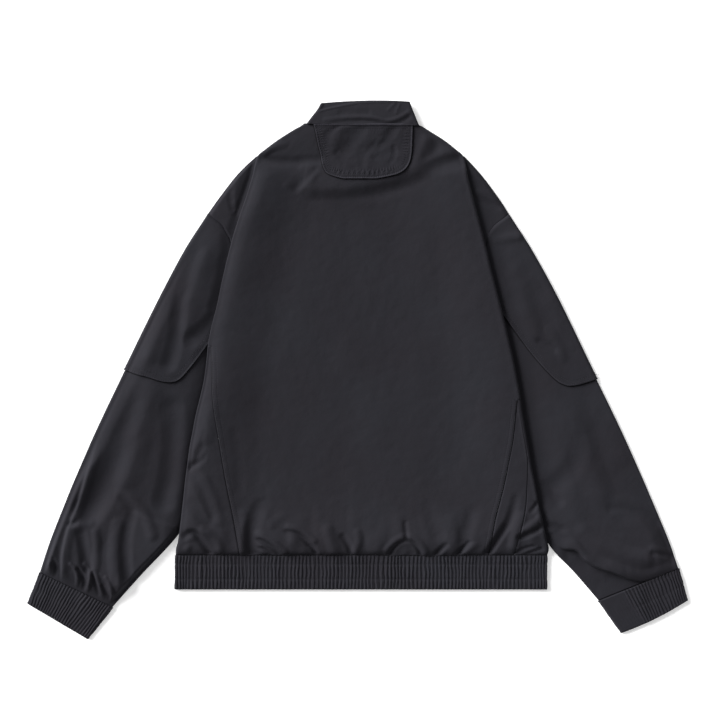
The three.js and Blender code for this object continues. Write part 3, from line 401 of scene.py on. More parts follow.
def ripple(x, y, size, seed):
    """Soft noise from -1 to 1: random values on a square lattice of the given size, blended
    smoothly between its four corners."""
    lattice = np.random.default_rng(seed).uniform(-1, 1, (64, 64))
    u, v = np.broadcast_arrays(np.asarray(x) / size + 640.37, np.asarray(y) / size + 640.71)
    i, j = np.floor(u).astype(int), np.floor(v).astype(int)
    a, b = smooth(u - i), smooth(v - j)
    top = lerp(lattice[i % 64, j % 64], lattice[(i + 1) % 64, j % 64], a)
    low = lerp(lattice[i % 64, (j + 1) % 64], lattice[(i + 1) % 64, (j + 1) % 64], a)
    return lerp(top, low, b)


def bent_line(start, middle, end, steps=7):
    """Points of the parabola that passes through three points at 0, 1/2 and 1."""
    u = np.linspace(0, 1, steps)[:, None]
    start, middle, end = (np.array(p, float) for p in (start, middle, end))
    return start * (1 - u) * (1 - 2 * u) + middle * 4 * u * (1 - u) + end * u * (2 * u - 1)


def nearest(path, x, y):
    """Signed distance from each place to a path (above 0 on its left) and how far along the path
    its nearest point is, from 0 to the path's length."""
    best = np.full(x.shape, 1e9)
    side = np.ones(x.shape)
    where = np.zeros(x.shape)
    start = 0
    for a, b in zip(path[:-1], path[1:]):
        dx, dy = b - a
        length = np.hypot(dx, dy)
        t = np.clip(((x - a[0]) * dx + (y - a[1]) * dy) / length ** 2, 0, 1)
        ox, oy = x - a[0] - t * dx, y - a[1] - t * dy
        distance = np.hypot(ox, oy)
        closer = distance < best
        best = np.where(closer, distance, best)
        side = np.where(closer, np.where(dx * oy - dy * ox < 0, -1, 1), side)
        where = np.where(closer, start + t * length, where)
        start += length
    return best * side, where


def path_length(path):
    """Length of a line of points."""
    return np.hypot(*np.diff(path, axis=0).T).sum()


def creases(lines, x, y):
    """The highest ridge plus the deepest trough at each place. A crease's height runs evenly from
    its start to its end and falls off to its sides as (1 - u^2)^2, u the distance over the reach
    on that side."""
    x, y = np.broadcast_arrays(np.asarray(x, float), np.asarray(y, float))
    ridges, troughs = np.zeros(x.shape), np.zeros(x.shape)
    for x0, y0, xm, ym, x1, y1, h0, h1, width, lean in zip(*lines.values()):
        reach = width * (1 + abs(lean))
        close = ((x > min(x0, xm, x1) - reach) & (x < max(x0, xm, x1) + reach)
                 & (y > min(y0, ym, y1) - reach) & (y < max(y0, ym, y1) + reach))
        if not close.any():
            continue
        path = bent_line((x0, y0), (xm, ym), (x1, y1))
        distance, where = nearest(path, x[close], y[close])
        side = width * (1 + lean * np.sign(distance))
        height = lerp(h0, h1, where / path_length(path)) * bump(distance, side)
        ridges[close] = np.maximum(ridges[close], height)
        troughs[close] = np.minimum(troughs[close], height)
    return ridges + troughs


# ---------------------------------------------------------------- the body's form

def zip_x(y):
    """Middle of the zip: 5 mm off the middle at the hem, and 5 mm more at its top."""
    return 5 + (y - HEM_Y) / ZIP_LENGTH * 5


def front_lift(x, y):
    """Rise of the fronts at the neck over the slider: full at the zip, none 110 mm away from it
    or below the neck."""
    return SLIDER_LIFT * smooth((y - 318) / 40) * smooth((110 - np.abs(x - NECK_X)) / 60)


def edge_x(side, y):
    """Outline of the body's folded edge, with a slight unevenness along it."""
    y = np.asarray(y, float)
    wobble = 0.5 * ripple(y, 0 * y, 26, 3 + SIGN[side]) * smooth((y + 266) / 20)
    return along(BODY_EDGE, "y", side, y) + wobble


def sleeve_inner(side, y):
    """Inner edge of a sleeve under the body, or 4 mm inside the body's edge further down."""
    sign = SIGN[side]
    inner = sign * along(SLEEVE[side], "inner_y", "inner_x", y)
    return sign * np.minimum(inner, sign * along(BODY_EDGE, "y", side, y) - 4)


def ramp_run(y):
    """Length of the ramp from the sleeve down to the floor, short at the underarm."""
    return lerp(4, 16, smooth((UNDERARM_Y - y) / 30))


def flap_lift(y):
    """Rise of the body's under layer, none at the hem seam or above the shoulder."""
    return FLAP_LIFT * smooth((y - HEM_SEAM_Y) / 36) * (1 - smooth((y - 308) / 14))


def under_height(side, x, y):
    """Level of the body's under layer: over the hidden edge of the sleeve, then a smooth ramp
    down to the floor."""
    floor = FLOOR_LEVEL + front_lift(x, y)
    inward = -SIGN[side] * (x - sleeve_inner(side, y))
    ramp = 1 - smooth((inward + 1) / (ramp_run(y) + 2))
    return floor + flap_lift(y) * np.where(y >= UNDERARM_Y, 1, ramp)


def seam_x(side, y):
    """The seam between the back and a side panel."""
    return along(BACK_SEAM[side], "y", "x", y)


def seam_welt(x, y):
    """Raised seam allowances: 0.4 mm high for 8 mm on the back's side of each side seam, with a
    stitched groove 7 mm from the seam."""
    total = 0
    for side, apex in APEX.items():
        inward = -SIGN[side] * (x - seam_x(side, y)) * SEAM_SLANT
        shown = smooth((apex - y) / 40)
        welt = 0.4 * smooth((inward + 0.2) / 2.2) * (1 - smooth((inward - 3) / 7))
        groove = -0.22 * bump(inward - 6.6, 1.8)
        total = total + shown * np.where(inward > -1, welt + groove, 0)
    return total


YOKE_FOLD = bent_line((-96, 264), (0, 262), (128, 296), 12)


def yoke_fold(x, y):
    """The broad fold below the flap: 4.8 mm high, steep on its lower side and gone 60 mm above."""
    above, run = nearest(YOKE_FOLD, x, y)
    total = path_length(YOKE_FOLD)
    ends = smooth(run / 30) * smooth((total - run) / 45)
    return 4.8 * ends * smooth((above + 11) / 20) * (1 - smooth((above - 9) / 55))


def top_height(x, y):
    """Level of the body's upper layer: the level tables from its middle to its edges, a roll
    beside the left fold and a broad rise towards the right one, then the fold below the flap,
    broad soft waves, the creases, fine crumple and the raised side seams. Crease heights end at
    the hem seam."""
    left, right = (along(BODY_EDGE, "y", side, y) for side in SIGN)
    across = np.abs(x - (left + right) / 2) / ((right - left) / 2)
    middle, edge = (along(TOP_LEVEL, "y", column, y) for column in ("middle", "edge"))
    fade = smooth((y - HEM_SEAM_Y) / 4)
    shown = smooth((312 - y) / 30) * smooth((y + 262) / 30)
    inside = x - left
    rise = 1 - (1 - np.clip(inside / 24, 0, 1)) ** 2
    roll = (5.3 * rise - 1.5) * (1 - smooth((inside - 21) / 88))
    swell = 3.4 * (1 - smooth((right - x - 4) / 130))
    roll = (roll * (1 + 0.35 * ripple(0 * x, y, 46, 16)) + swell) * shown
    roll = roll + 0.4 * bump(right - x - 3.4, 2.4) * smooth((308 - y) / 20) * smooth((y + 262) / 30)
    waves = 0.9 * ripple(x, y * 0.4, 70, 11) + 0.5 * ripple(x, y * 0.6, 34, 12)
    crumple = 0.16 * ripple(x, y, 11, 13) + 0.08 * ripple(x, y, 5, 14)
    gathers = smooth((-190 - y) / 40) * ripple(x, y * 0.35, 13, 15)
    relief = 1.35 * creases(BODY_CREASES, x, y) + yoke_fold(x, y) + waves + crumple + gathers + roll
    return lerp(middle, edge, smooth((across - 0.55) / 0.4)) + fade * relief + seam_welt(x, y)


def fold_at(side, y):
    """The fold at the body's edge at each row: its middle, radius and half turn."""
    sign = SIGN[side]
    edge = edge_x(side, y) - sign * CLOTH / 2
    near = edge - sign * 2.5
    under = under_height(side, near, y)
    top = np.maximum(top_height(near, y), under + 2.6)
    radius = (top - under) / 2
    return edge - sign * radius, under + radius, radius, np.pi * radius


def body_section(side, y, q):
    """Points of the body's section. q is the length along the cloth from the start of the fold:
    below 0 on the upper layer, then round a half turn, and beyond it on the under layer, each
    blended into the turn within a few millimetres."""
    sign = SIGN[side]
    fold_x, fold_z, radius, half = fold_at(side, y)
    over_x = fold_x + sign * np.minimum(q, 0)
    over_z = lerp(top_height(over_x, y), fold_z + radius, smooth(1 + q / 5))
    angle = np.clip(q / radius, 0, np.pi)
    past = np.maximum(q - half, 0)
    under_x = fold_x - sign * past
    under_z = lerp(under_height(side, under_x, y), fold_z - radius, smooth(1 - past / 6))
    turning = (q > 0) & (q < half)
    x = np.where(q <= 0, over_x, np.where(turning, fold_x + sign * radius * np.sin(angle), under_x))
    z = np.where(q <= 0, over_z, np.where(turning, fold_z + radius * np.cos(angle), under_z))
    return places(x, y, z)


def over_q(side, y, x):
    """Length q of the upper layer at a given x."""
    return SIGN[side] * (x - fold_at(side, y)[0])


def under_q(side, y, x):
    """Length q of the under layer at a given x."""
    fold_x, _, _, half = fold_at(side, y)
    return half - SIGN[side] * (x - fold_x)


def round_fold(side, y, start, end, top_count):
    """Lengths q from a seam on the upper layer, round the fold, to one on the under layer."""
    half = fold_at(side, y)[3]
    top = start * (1 - shares(top_count)[:, :-1])
    return np.concatenate([top, half * shares(9), lerp(half, end, shares(16)[:, 1:])], 1)


def upper_levels(x, y):
    """Levels of the back's upper layer worked out from its left fold and from its right one."""
    return (body_section(side, y, np.minimum(over_q(side, y, x), 0))[..., 2] for side in SIGN)


# ---------------------------------------------------------------- meshes

def grid(points, u, v, seam=(FAR, FAR), cover=FAR, flip=False):
    """A sheet of points, rows towards the hem, with its place on the cut cloth (u across and v
    along), as `seam` the distance from the nearest stitched edge and the way along it, and as
    `cover` the distance from the edge of a piece sewn over it."""
    def pair(*values):
        return np.stack([np.broadcast_to(value, points.shape[:2]) for value in values], -1)

    return {"points": points, "Cloth": pair(u, v), "Seam": pair(*seam), "Cover": pair(cover, FAR),
            "flip": flip}


def mesh_piece(name, grids, material, thickness=CLOTH):
    """One mesh of several sheets whose shared edges are merged, with a wall of even thickness
    about it."""
    faces, start = [], 0
    for sheet in grids:
        rows, columns = sheet["points"].shape[:2]
        index = start + np.arange(rows * columns).reshape(rows, columns)
        corners = [index[:-1, :-1], index[1:, :-1], index[1:, 1:], index[:-1, 1:]]
        faces.append(np.stack(corners[::-1] if sheet["flip"] else corners, -1).reshape(-1, 4))
        start += rows * columns
    maps = ("Cloth", "Seam", "Cover")
    joined = {key: np.concatenate([sheet[key].reshape(-1, sheet[key].shape[-1]) for sheet in grids]) * MM
              for key in ("points", *maps)}
    mesh = bpy.data.meshes.new(name)
    mesh.from_pydata(joined["points"].tolist(), [], np.concatenate(faces).tolist())
    corner = np.empty(len(mesh.loops), np.int32)
    mesh.loops.foreach_get("vertex_index", corner)
    for title in maps:
        mesh.uv_layers.new(name=title).data.foreach_set("uv", joined[title][corner].ravel())
    work = bmesh.new()
    work.from_mesh(mesh)
    bmesh.ops.remove_doubles(work, verts=work.verts, dist=0.00002)
    work.to_mesh(mesh)
    work.free()
    return piece(name, mesh, material, thickness)


def new_object(name, data):
    """An object in the scene, at the origin."""
    made = bpy.data.objects.new(name, data)
    bpy.context.scene.collection.objects.link(made)
    return made


def piece(name, mesh, material, thickness=None):
    """An object that shows the mesh, smooth, with a wall when a thickness is given."""
    mesh.shade_smooth()
    mesh.materials.append(material)
    made = new_object(name, mesh)
    if thickness:
        wall = made.modifiers.new("wall", "SOLIDIFY")
        wall.thickness = thickness * MM
        wall.offset = 0
    return made


# ---------------------------------------------------------------- materials

def feed(node, inputs):
    """Give each named input of a node its value, or link it to the output named for it."""
    for socket, value in inputs.items():
        if isinstance(value, bpy.types.NodeSocket):
            node.id_data.links.new(value, node.inputs[socket])
        else:
            node.inputs[socket].default_value = value


def new_material(name):
    """A material, its shader, and a function that adds a node to it: a kind, the output to hand
    back, the node's inputs and its settings."""
    made = bpy.data.materials.new(name)
    made.use_nodes = True

    def node(kind, output=0, inputs=None, **settings):
        new = made.node_tree.nodes.new("ShaderNode" + kind)
        for key, value in settings.items():
            setattr(new, key, value)
        feed(new, inputs or {})
        return new.outputs[output]

    return made, made.node_tree.nodes["Principled BSDF"], node


def colour_ramp(node, value, colour, *stops):
    """The colour from one tint of it to another, each tint at its own place in the value."""
    ramp = node("ValToRGB", "Color", {"Fac": value})
    for element, (place, tint) in zip(ramp.node.color_ramp.elements, stops):
        element.position = place
        element.color = (*(part * share for part, share in zip(colour, tint)), 1)
    return ramp


def cloth_material(name, colour=(0.0144, 0.0138, 0.0173), roughness=0.85, weave=0.35, crinkle=0.5,
                   dimple=0.0, painted_edge_light_shade=0.0, painted_cover_shadow=False):
    """Fine plain weave: crossed waves 0.55 mm apart on the cut cloth, soft crinkle and mottling
    from noise. Where dimples are asked for, two rows of them pull in beside the seams, and a
    painted highlight lightens the turned edge by the given share, while painted shade darkens it
    where that share is below 0. Where asked for, painted shadow darkens the cloth in a line 1 mm
    wide right beside the edge of a piece that is sewn over it."""
    made, shader, node = new_material(name)
    feed(shader, {"Roughness": roughness, "Specular IOR Level": 0.12, "Sheen Weight": 0.015,
                  "Sheen Roughness": 0.4, "Sheen Tint": (0.75, 0.8, 0.95, 1)})

    def maths(operation, *values):
        return node("Math", inputs=dict(enumerate(values)), operation=operation)

    def threads(direction):
        return node("TexWave", "Fac", {"Scale": 290, "Distortion": 1.2, "Detail Scale": 0.6,
                                       "Vector": cut}, wave_type="BANDS", bands_direction=direction)

    def noise(scale, detail, vector):
        return node("TexNoise", "Fac", {"Scale": scale, "Detail": detail, "Vector": vector})

    def near_line(distance, line, reach):
        """1 on a line beside the seam, falling to 0 over the reach to either side of it."""
        off = maths("DIVIDE", maths("ABSOLUTE", maths("SUBTRACT", distance, line)), reach)
        return maths("MAXIMUM", maths("SUBTRACT", 1.0, off), 0.0)

    def tinted(start, amount, strength):
        darker = (*(part * strength for part in colour), 1)
        return node("MixRGB", "Color", {"Fac": amount, "Color1": start, "Color2": darker},
                    blend_type="MIX")

    def uv_parts(title):
        return node("SeparateXYZ", inputs={0: node("UVMap", uv_map=title)}).node.outputs

    place = node("TexCoord", "Object")
    cut = node("UVMap", uv_map="Cloth")
    broad, fine, crinkled, speck = (noise(9, 3, place), noise(170, 4, place), noise(62, 5, place),
                                    noise(900, 2, cut))
    tone = maths("ADD", maths("MULTIPLY", broad, 0.5), maths("MULTIPLY", fine, 0.25))
    tone = maths("ADD", tone, maths("MULTIPLY", speck, 0.25))
    shade = colour_ramp(node, tone, colour, (0.3, (0.9, 0.83, 0.85)), (0.7, (1.06, 1.14, 1.15)))
    weave_height = maths("MAXIMUM", threads("X"), threads("Y"))
    height = maths("ADD", maths("MULTIPLY", weave_height, 0.00004 * weave),
                   maths("MULTIPLY", crinkled, 0.0011 * crinkle))
    height = maths("ADD", height, maths("MULTIPLY", fine, 0.0003 * crinkle))
    if dimple:
        away, run, _ = uv_parts("Seam")
        step = maths("ABSOLUTE", maths("SINE", maths("MULTIPLY", run, 3141.6 / STITCH_PITCH)))
        rows = 0.0
        for line in (0.0022, 0.0075):
            rows = maths("ADD", rows, near_line(away, line, 0.0016))
        dent = maths("MULTIPLY", maths("MULTIPLY", rows, maths("SUBTRACT", 1.0, step)), 0.0003 * dimple)
        height = maths("SUBTRACT", height, dent)
        # A band along the turned edge: a painted highlight where the share is above 0, painted shade where
        # it is below 0.
        turned_edge = maths("MULTIPLY", near_line(away, 0.001, 0.0012), fine)
        shade = tinted(shade, turned_edge, 1 + painted_edge_light_shade)
    if painted_cover_shadow:
        # Painted shadow: the cloth darker in a line right beside the edge of a piece sewn over it.
        past_edge = maths("DIVIDE", maths("ABSOLUTE", uv_parts("Cover")[0]), 0.0012)
        beside_edge = maths("MINIMUM", maths("SUBTRACT", 1.5, past_edge), 0.85)
        shade = tinted(shade, maths("MAXIMUM", beside_edge, 0.0), 0.12)
    rough = node("MapRange", "Result", {"To Min": roughness - 0.05, "To Max": roughness + 0.06,
                                        "Value": fine})
    raised = node("Bump", "Normal", {"Strength": 1, "Distance": 1, "Height": height})
    feed(shader, {"Base Color": shade, "Roughness": rough, "Normal": raised})
    return made


def metal_material(name, colour, roughness):
    """Dark painted metal: even colour with faint worn patches and brushed unevenness."""
    made, shader, node = new_material(name)
    noise = node("TexNoise", "Fac", {"Scale": 420, "Detail": 5, "Vector": node("TexCoord", "Object")})
    rough = node("MapRange", "Result", {"To Min": roughness - 0.08, "To Max": roughness + 0.1,
                                        "Value": noise})
    raised = node("Bump", "Normal", {"Strength": 0.25, "Distance": 0.0002, "Height": noise})
    worn = colour_ramp(node, noise, colour, (0.35, (0.8, 0.8, 0.8)), (0.75, (1.7, 1.7, 1.7)))
    feed(shader, {"Metallic": 0.85, "Base Color": worn, "Roughness": rough, "Normal": raised})
    return made


SHELL = cloth_material("charcoal nylon")
# BACK has painted shade along its side seams and painted shadow beside the flap. The sleeves have painted
# shadow beside their overlays. The overlays and the flap have a painted highlight on their turned edges.
BACK = cloth_material("charcoal nylon, seamed", dimple=1.0, painted_edge_light_shade=-0.75, painted_cover_shadow=True)
SLEEVE_CLOTH = cloth_material("charcoal nylon, sleeve", painted_cover_shadow=True)
OVERLAY = cloth_material("charcoal nylon, overlay", dimple=1.0, painted_edge_light_shade=0.9)
FLAP = cloth_material("charcoal nylon, flap", (0.0128, 0.0122, 0.0155), dimple=1.0, painted_edge_light_shade=1.7)
RIB = cloth_material("charcoal nylon, gathered")
TAPE = cloth_material("zip tape", (0.011, 0.011, 0.012), weave=1.6, crinkle=0.2)
THREAD = cloth_material("sewing thread", (0.021, 0.021, 0.025), 0.7, weave=0.6, crinkle=0.1)
METAL = metal_material("dark painted metal", (0.03, 0.03, 0.032), 0.4)


# ---------------------------------------------------------------- body pieces

BODY_ROWS = np.sort(np.concatenate([
    np.linspace(NECK_Y - 0.3, CLOSE_ROWS_Y + 2, 190), np.linspace(CLOSE_ROWS_Y, HEM_SEAM_Y, 54),
    [apex + step for apex in APEX.values() for step in (0.05, -0.05)],
]))[::-1]


def neck_line(x):
    """The collar seam: it drops 1.5 mm in 100 mm to the right."""
    return NECK_Y - 0.015 * (x - NECK_X) - 0.3


def return_end(side, y):
    """Where the pleat's hidden return ends: 13 mm inside the fold or at the armhole."""
    sign = SIGN[side]
    inner = fold_at(side, y)[0] - sign * PLEAT_RETURN
    sewn = along(ARMHOLE[side], "y", "x", y)
    return np.where(y > 190, inner, sign * np.minimum(sign * sewn, sign * inner))


def back_panel():
    """The upper layer from seam to seam, or from fold to fold above the side panels, and at each
    fold the half turn and the pleat's hidden return."""
    y = BODY_ROWS[:, None]
    ends = {}
    for side, apex in APEX.items():
        sewn = seam_x(side, y) - SIGN[side] * SEAM_GAP
        ends[side] = np.where(y > apex, fold_at(side, y)[0], sewn)
    u = shares(152)
    x = lerp(ends["left"], ends["right"], u)
    z = np.where(u < 0.5, *upper_levels(x, y))
    rows = y - 2.4 * smooth((-262 - y) / 9) * np.maximum(ripple(x, 0 * y, 19, 17), 0)
    rows[0] = neck_line(x[0])
    away = FAR
    for side, apex in APEX.items():
        seamed = (SIGN[side] * x > 0) & (y < apex)
        away = np.where(seamed, -SIGN[side] * (x - seam_x(side, y)) * SEAM_SLANT, away)
    from_flap = nearest(flap_outline(), x, rows)[0]
    sheets = [grid(places(x, rows, z), x, y, seam=(np.maximum(away, 0), y), cover=from_flap)]
    for side, apex in APEX.items():
        y = BODY_ROWS[BODY_ROWS > apex][:, None]
        fold_x, _, _, half = fold_at(side, y)
        sewn = under_q(side, y, return_end(side, y)) - half
        tail = lerp(SHORT_TAIL, sewn, smooth((306 - y) / 12))
        tail = np.where((y > 300) | (y < UNDERARM_Y), SHORT_TAIL, tail)
        q = np.concatenate([half * shares(8), half + tail * shares(7)[:, 1:]], 1)
        points = body_section(side, y, q)
        points[0, :, 1] = neck_line(points[0, :, 0])
        u = fold_x + SIGN[side] * q
        sheets.append(grid(points, u, y, flip=side == "left"))
    return mesh_piece("back_panel", sheets, BACK)


def shoulder_x(side, y):
    """The outline from the notch down to the end of the shoulder."""
    return along(SHOULDER_EDGE, "y", side, np.clip(y, 230, 316))


def shoulder_panel(side):
    """The drop shoulder: the pleat's lowest layer, from its inner turn of 0.75 mm radius to 3 mm
    past the armhole seam, low at the outline and higher where it shows."""
    sign = SIGN[side]
    y = rows_down((313, 183, 66))
    inner = fold_at(side, y)[0] - sign * PLEAT_RETURN
    seam = along(ARMHOLE[side], "y", "x", y)
    outline = shoulder_x(side, y) + sign * (0.6 * np.maximum(SHOULDER_END_Y - y, 0) - 0.6)
    outer = sign * np.minimum(sign * seam + 3, sign * outline)
    turn = 0.75
    flat = np.linspace(6, 1, 3)[None, :]
    start = places(inner + sign * flat, y, SHOULDER_UNDER + 2 * turn)
    angle = half_turn(6)
    bend = places(inner - sign * turn * np.sin(angle), y,
                  SHOULDER_UNDER + turn + turn * np.cos(angle))
    x = lerp(inner + sign, outer, shares(34))
    outside = sign * (x - along(BODY_EDGE, "y", side, y))
    shown = lerp(SHOULDER_UNDER, {"left": 6, "right": 4.9}[side], smooth((outside - 2) / 14))
    soft = creases(SHOULDER_CREASES[side], x, y) + 0.12 * ripple(x, y, 9, 21)
    z = lerp(2.6, shown, smooth(sign * (outline - x) / 7)) + soft * smooth(outside / 6)
    z = z - np.where(y < SHOULDER_END_Y + 1, 0.9 * smooth(sign * (x - seam) / 2), 0)
    points = np.concatenate([start, bend, places(x, y, z)], 1)
    sheet = grid(points, points[..., 0], y, flip=side == "left")
    return mesh_piece(f"shoulder_{side}", [sheet], SHELL)


def under_seam_x(side, y):
    """Seam on the underside where the flap over the sleeve meets the front."""
    rows = np.array([UNDERARM_Y, -4, -44, -116, -176, -234, HEM_SEAM_Y], float)
    x = sleeve_inner(side, rows) - SIGN[side] * (ramp_run(rows) + 3)
    return np.interp(-np.asarray(y, float), -rows, x)


def side_panel_left():
    """The left side panel: from its seam on the back, round the fold, over the sleeve and down
    a ramp to the front's seam underneath."""
    y = rows_down((UNDERARM_Y, CLOSE_ROWS_Y + 2, 78), (CLOSE_ROWS_Y, HEM_SEAM_Y, 46))
    seam = np.minimum(over_q("left", y, seam_x("left", y) - SEAM_GAP), -0.8)
    q = round_fold("left", y, seam, under_q("left", y, under_seam_x("left", y)), 30)
    points = body_section("left", y, q)
    away = 20 + np.where(q < 0, np.abs(points[..., 0] - seam_x("left", y)), FAR)
    sheet = grid(points, fold_at("left", y)[0] - q, y, seam=(away, y), flip=True)
    return mesh_piece("side_panel_left", [sheet], SHELL)


def front_seam_x(y):
    """The right front's seam on the upper layer, kept on the near side of the fold."""
    return np.minimum(along(FRONT_SEAM_RIGHT, "y", "x", y), fold_at("right", y)[0] - 0.8)


def side_panel_right():
    """The right side panel: a narrow wedge between the back's seam and the front's."""
    y = rows_down((SIDE_APEX_RIGHT_Y, CLOSE_ROWS_Y + 2, 50), (CLOSE_ROWS_Y, HEM_SEAM_Y, 46))
    x = lerp(seam_x("right", y) + SEAM_GAP, front_seam_x(y) - SEAM_GAP, shares(18))
    points = body_section("right", y, over_q("right", y, x))
    return mesh_piece("side_panel_right", [grid(points, x, y)], SHELL)


def front_sheet(side):
    """The flat part of a front: from the zip or the neck's scoop out to the shoulder, the armhole
    and the seam beside the sleeve, with a few soft creases."""
    sign = SIGN[side]
    y = rows_down((351, 318, 16), (314, UNDERARM_Y, 64), (33, HEM_SEAM_Y, 66))
    scoop = NECK_X + sign * 72 * np.sqrt(np.clip((y - 338) / 22, 0, 1))
    inner = sign * np.maximum(sign * (zip_x(y) + sign * 7), sign * (scoop + sign))
    sleeve_edge = along(ARMHOLE[side], "y", "x", y)
    below = under_seam_x(side, y)
    outer = np.where(y > NOTCH_Y, fold_at(side, y)[0] - sign * 4.5,
                     np.where(y > SHOULDER_END_Y, shoulder_x(side, y) - sign * 0.6,
                              np.where(y > UNDERARM_Y, sleeve_edge - sign, below - sign * 0.3)))
    x = lerp(inner, outer, shares(50))
    soft = 0.35 + 0.35 * ripple(x, y * 0.5, 42, 31) + creases(FRONT_CREASES[side], x, y)
    rise = np.clip(soft, 0, 2) * smooth((sign * (outer - x)) / 12) * smooth(sign * (x - inner) / 12)
    z = FLOOR_LEVEL + front_lift(x, y) + rise * (1 - smooth((y - 300) / 20))
    return grid(places(x, y, z), x, y, seam=(np.abs(x - inner), y), flip=side == "left")


def front_left():
    """The left front: its flat part only."""
    return mesh_piece("front_left_panel", [front_sheet("left")], SHELL)


def front_right():
    """The right front: its flat part, the flap over the sleeve, and the part that wraps round the
    fold on to the upper layer."""
    y = BODY_ROWS[BODY_ROWS < SIDE_APEX_RIGHT_Y + 1][:, None]
    seam = over_q("right", y, front_seam_x(y) + SEAM_GAP)
    q = round_fold("right", y, seam, under_q("right", y, under_seam_x("right", y) - 1), 14)
    wrap = grid(body_section("right", y, q), fold_at("right", y)[0] + q, y)
    y = BODY_ROWS[(BODY_ROWS >= y.max()) & (BODY_ROWS < UNDERARM_Y)][:, None]
    fold_x, _, _, half = fold_at("right", y)
    end = under_q("right", y, under_seam_x("right", y) - 1)
    q = lerp(half + 4, end, shares(20))
    over_sleeve = grid(body_section("right", y, q), fold_x + q, y)
    return mesh_piece("front_right_panel", [front_sheet("right"), wrap, over_sleeve], SHELL)


# ---------------------------------------------------------------- sleeves and overlays

def sleeve_place(side, s, t):
    """A place on a sleeve, s across it from its outer outline and t down it from the armhole,
    bowed to the armhole's curve near it."""
    rows = SLEEVE[side]
    fade = np.clip(1 - t / 0.35, 0, 1) ** 2

    def axis(name):
        outer, inner = (along(rows, "t", f"{edge}_{name}", t) for edge in ("outer", "inner"))
        chord = lerp(rows[f"outer_{name}"][0], rows[f"inner_{name}"][0], s)
        return lerp(outer, inner, s) + fade * (along(ARMHOLE[side], "s", name, s) - chord)

    return axis("x"), axis("y")


def sleeve_top(side, x, y, t, from_edge):
    """Level of a sleeve's upper layer: the level table, low beside the outer fold, with creases
    and soft waves, and low where the body covers it. The left has a broad rise beside the outer
    fold and a pleat. The right has a puff, and stays low beside the body."""
    level = along(SLEEVE_LEVEL, "t", "z", t)
    fade = smooth((1 - t) / 0.04)
    soft = 0.8 * ripple(x, y * 0.5, 44, 41) + 0.35 * ripple(x, y, 19, 42) + 0.1 * ripple(x, y, 8, 43)
    gather = smooth((t - 0.86) / 0.1) * ripple(x * 1.3, y * 0.6, 9, 44)
    gather = gather * (0.9 if side == "left" else 0.25)
    relief = 1.6 * creases(SLEEVE_CREASES[side], x, y) + soft + gather
    if side == "left":
        rounded = lerp(26, 11, smooth((-110 - y) / 60))
        level = level + 3.6 * smooth((t - 0.12) / 0.3) * fade * (1 - smooth((from_edge - 18) / 95))
    else:
        rounded = lerp(100, 26, smooth((t - 0.6) / 0.25))
    open_level = lerp(np.minimum(level, 5), level, smooth(from_edge / rounded)) + fade * relief
    if side == "left":
        past = along(PLEAT_LINE, "y", "x", y) - x
        depth = smooth((-96 - y) / 70) * fade
        open_level += depth * (1.4 * bump(past + 4, 10) - 5.2 * smooth((past + 1) / 4)
                               * (1 - 0.75 * smooth((past - 3) / 22)))
    else:
        past = along(PUFF_LINE, "x", "y", x) - y
        lip = smooth((x - 288) / 22)
        open_level += lip * 2.2 * bump(past + 6, 13)
        open_level = lerp(open_level, 3.4 + 0.4 * ripple(x, y, 14, 45), lip * smooth((past + 1) / 3))
    outside = SIGN[side] * (x - along(BODY_EDGE, "y", side, y))
    shown = 1 - (1 - np.clip((outside + 2) / 26, 0, 1)) ** 2.2
    if side == "right":
        shown = smooth((outside + 0.5) / 15)
        beside_body = (1 - smooth((outside - 8) / 50)) * smooth((y + 250) / 60)
        open_level = open_level - np.maximum(level - 4.6, 0) * beside_body
    return lerp(HIDDEN_SLEEVE, np.maximum(open_level, 2.6), shown)


def side_by_side(parts):
    """Each quantity of several parts of a section, the parts joined in their order."""
    return [np.concatenate(quantity, 1) for quantity in
            zip(*(np.broadcast_arrays(*part) for part in parts))]


def tube_section(w, z, start, end, start_radius, end_radius, under_count):
    """Widths and levels round a flat tube, closed on itself: the upper layer w and z, a half turn
    at its end, the under layer on the floor and a half turn back up at its start."""
    angle = half_turn(8)
    back_up = angle[:, ::-1]
    whole = side_by_side([
        (w, z),
        (end + end_radius * np.sin(angle), FLOOR_LEVEL + end_radius * (1 + np.cos(angle))),
        (lerp(end, start, shares(under_count)), FLOOR_LEVEL),
        (start - start_radius * np.sin(back_up), FLOOR_LEVEL + start_radius * (1 + np.cos(back_up))),
    ])
    return (np.concatenate([part, part[:, :1]], 1) for part in whole)


def outlines(side, t):
    """Places on a sleeve's outer and inner outlines, and how far apart they are."""
    outer, inner = (sleeve_place(side, np.array([[s]], float), t) for s in (0, 1))
    return outer, inner, np.hypot(inner[0] - outer[0], inner[1] - outer[1])


def sleeve_surface(side, t):
    """The sleeve's tube, a ring for each t: its points, the length round it counted from about
    the middle of the upper layer, and the distance across from the outer outline."""
    width = outlines(side, t)[2]

    def top(w):
        x, y = sleeve_place(side, w / width, t)
        from_edge = np.minimum(w, np.where(t > 0.75, width - w, width))
        return sleeve_top(side, x, y, t, from_edge)

    inset = CLOTH / 2 + 0.3
    outer_radius = (top(inset + 2.2) - FLOOR_LEVEL) / 2
    inner_radius = (top(width - inset - 1.5) - FLOOR_LEVEL) / 2
    start, end = inset + outer_radius, width - inset - inner_radius
    w = lerp(start, end, shares(84))
    z = lerp(top(w), FLOOR_LEVEL + 2 * outer_radius, smooth(1 - (w - start) / 8))
    z = lerp(z, FLOOR_LEVEL + 2 * inner_radius, smooth(1 - (end - w) / 8))
    w, z = tube_section(w, z, start, end, outer_radius, inner_radius, 22)
    x, y = sleeve_place(side, w / width, t)
    return places(x, y, z), run_across(x, z) - width / 2, w


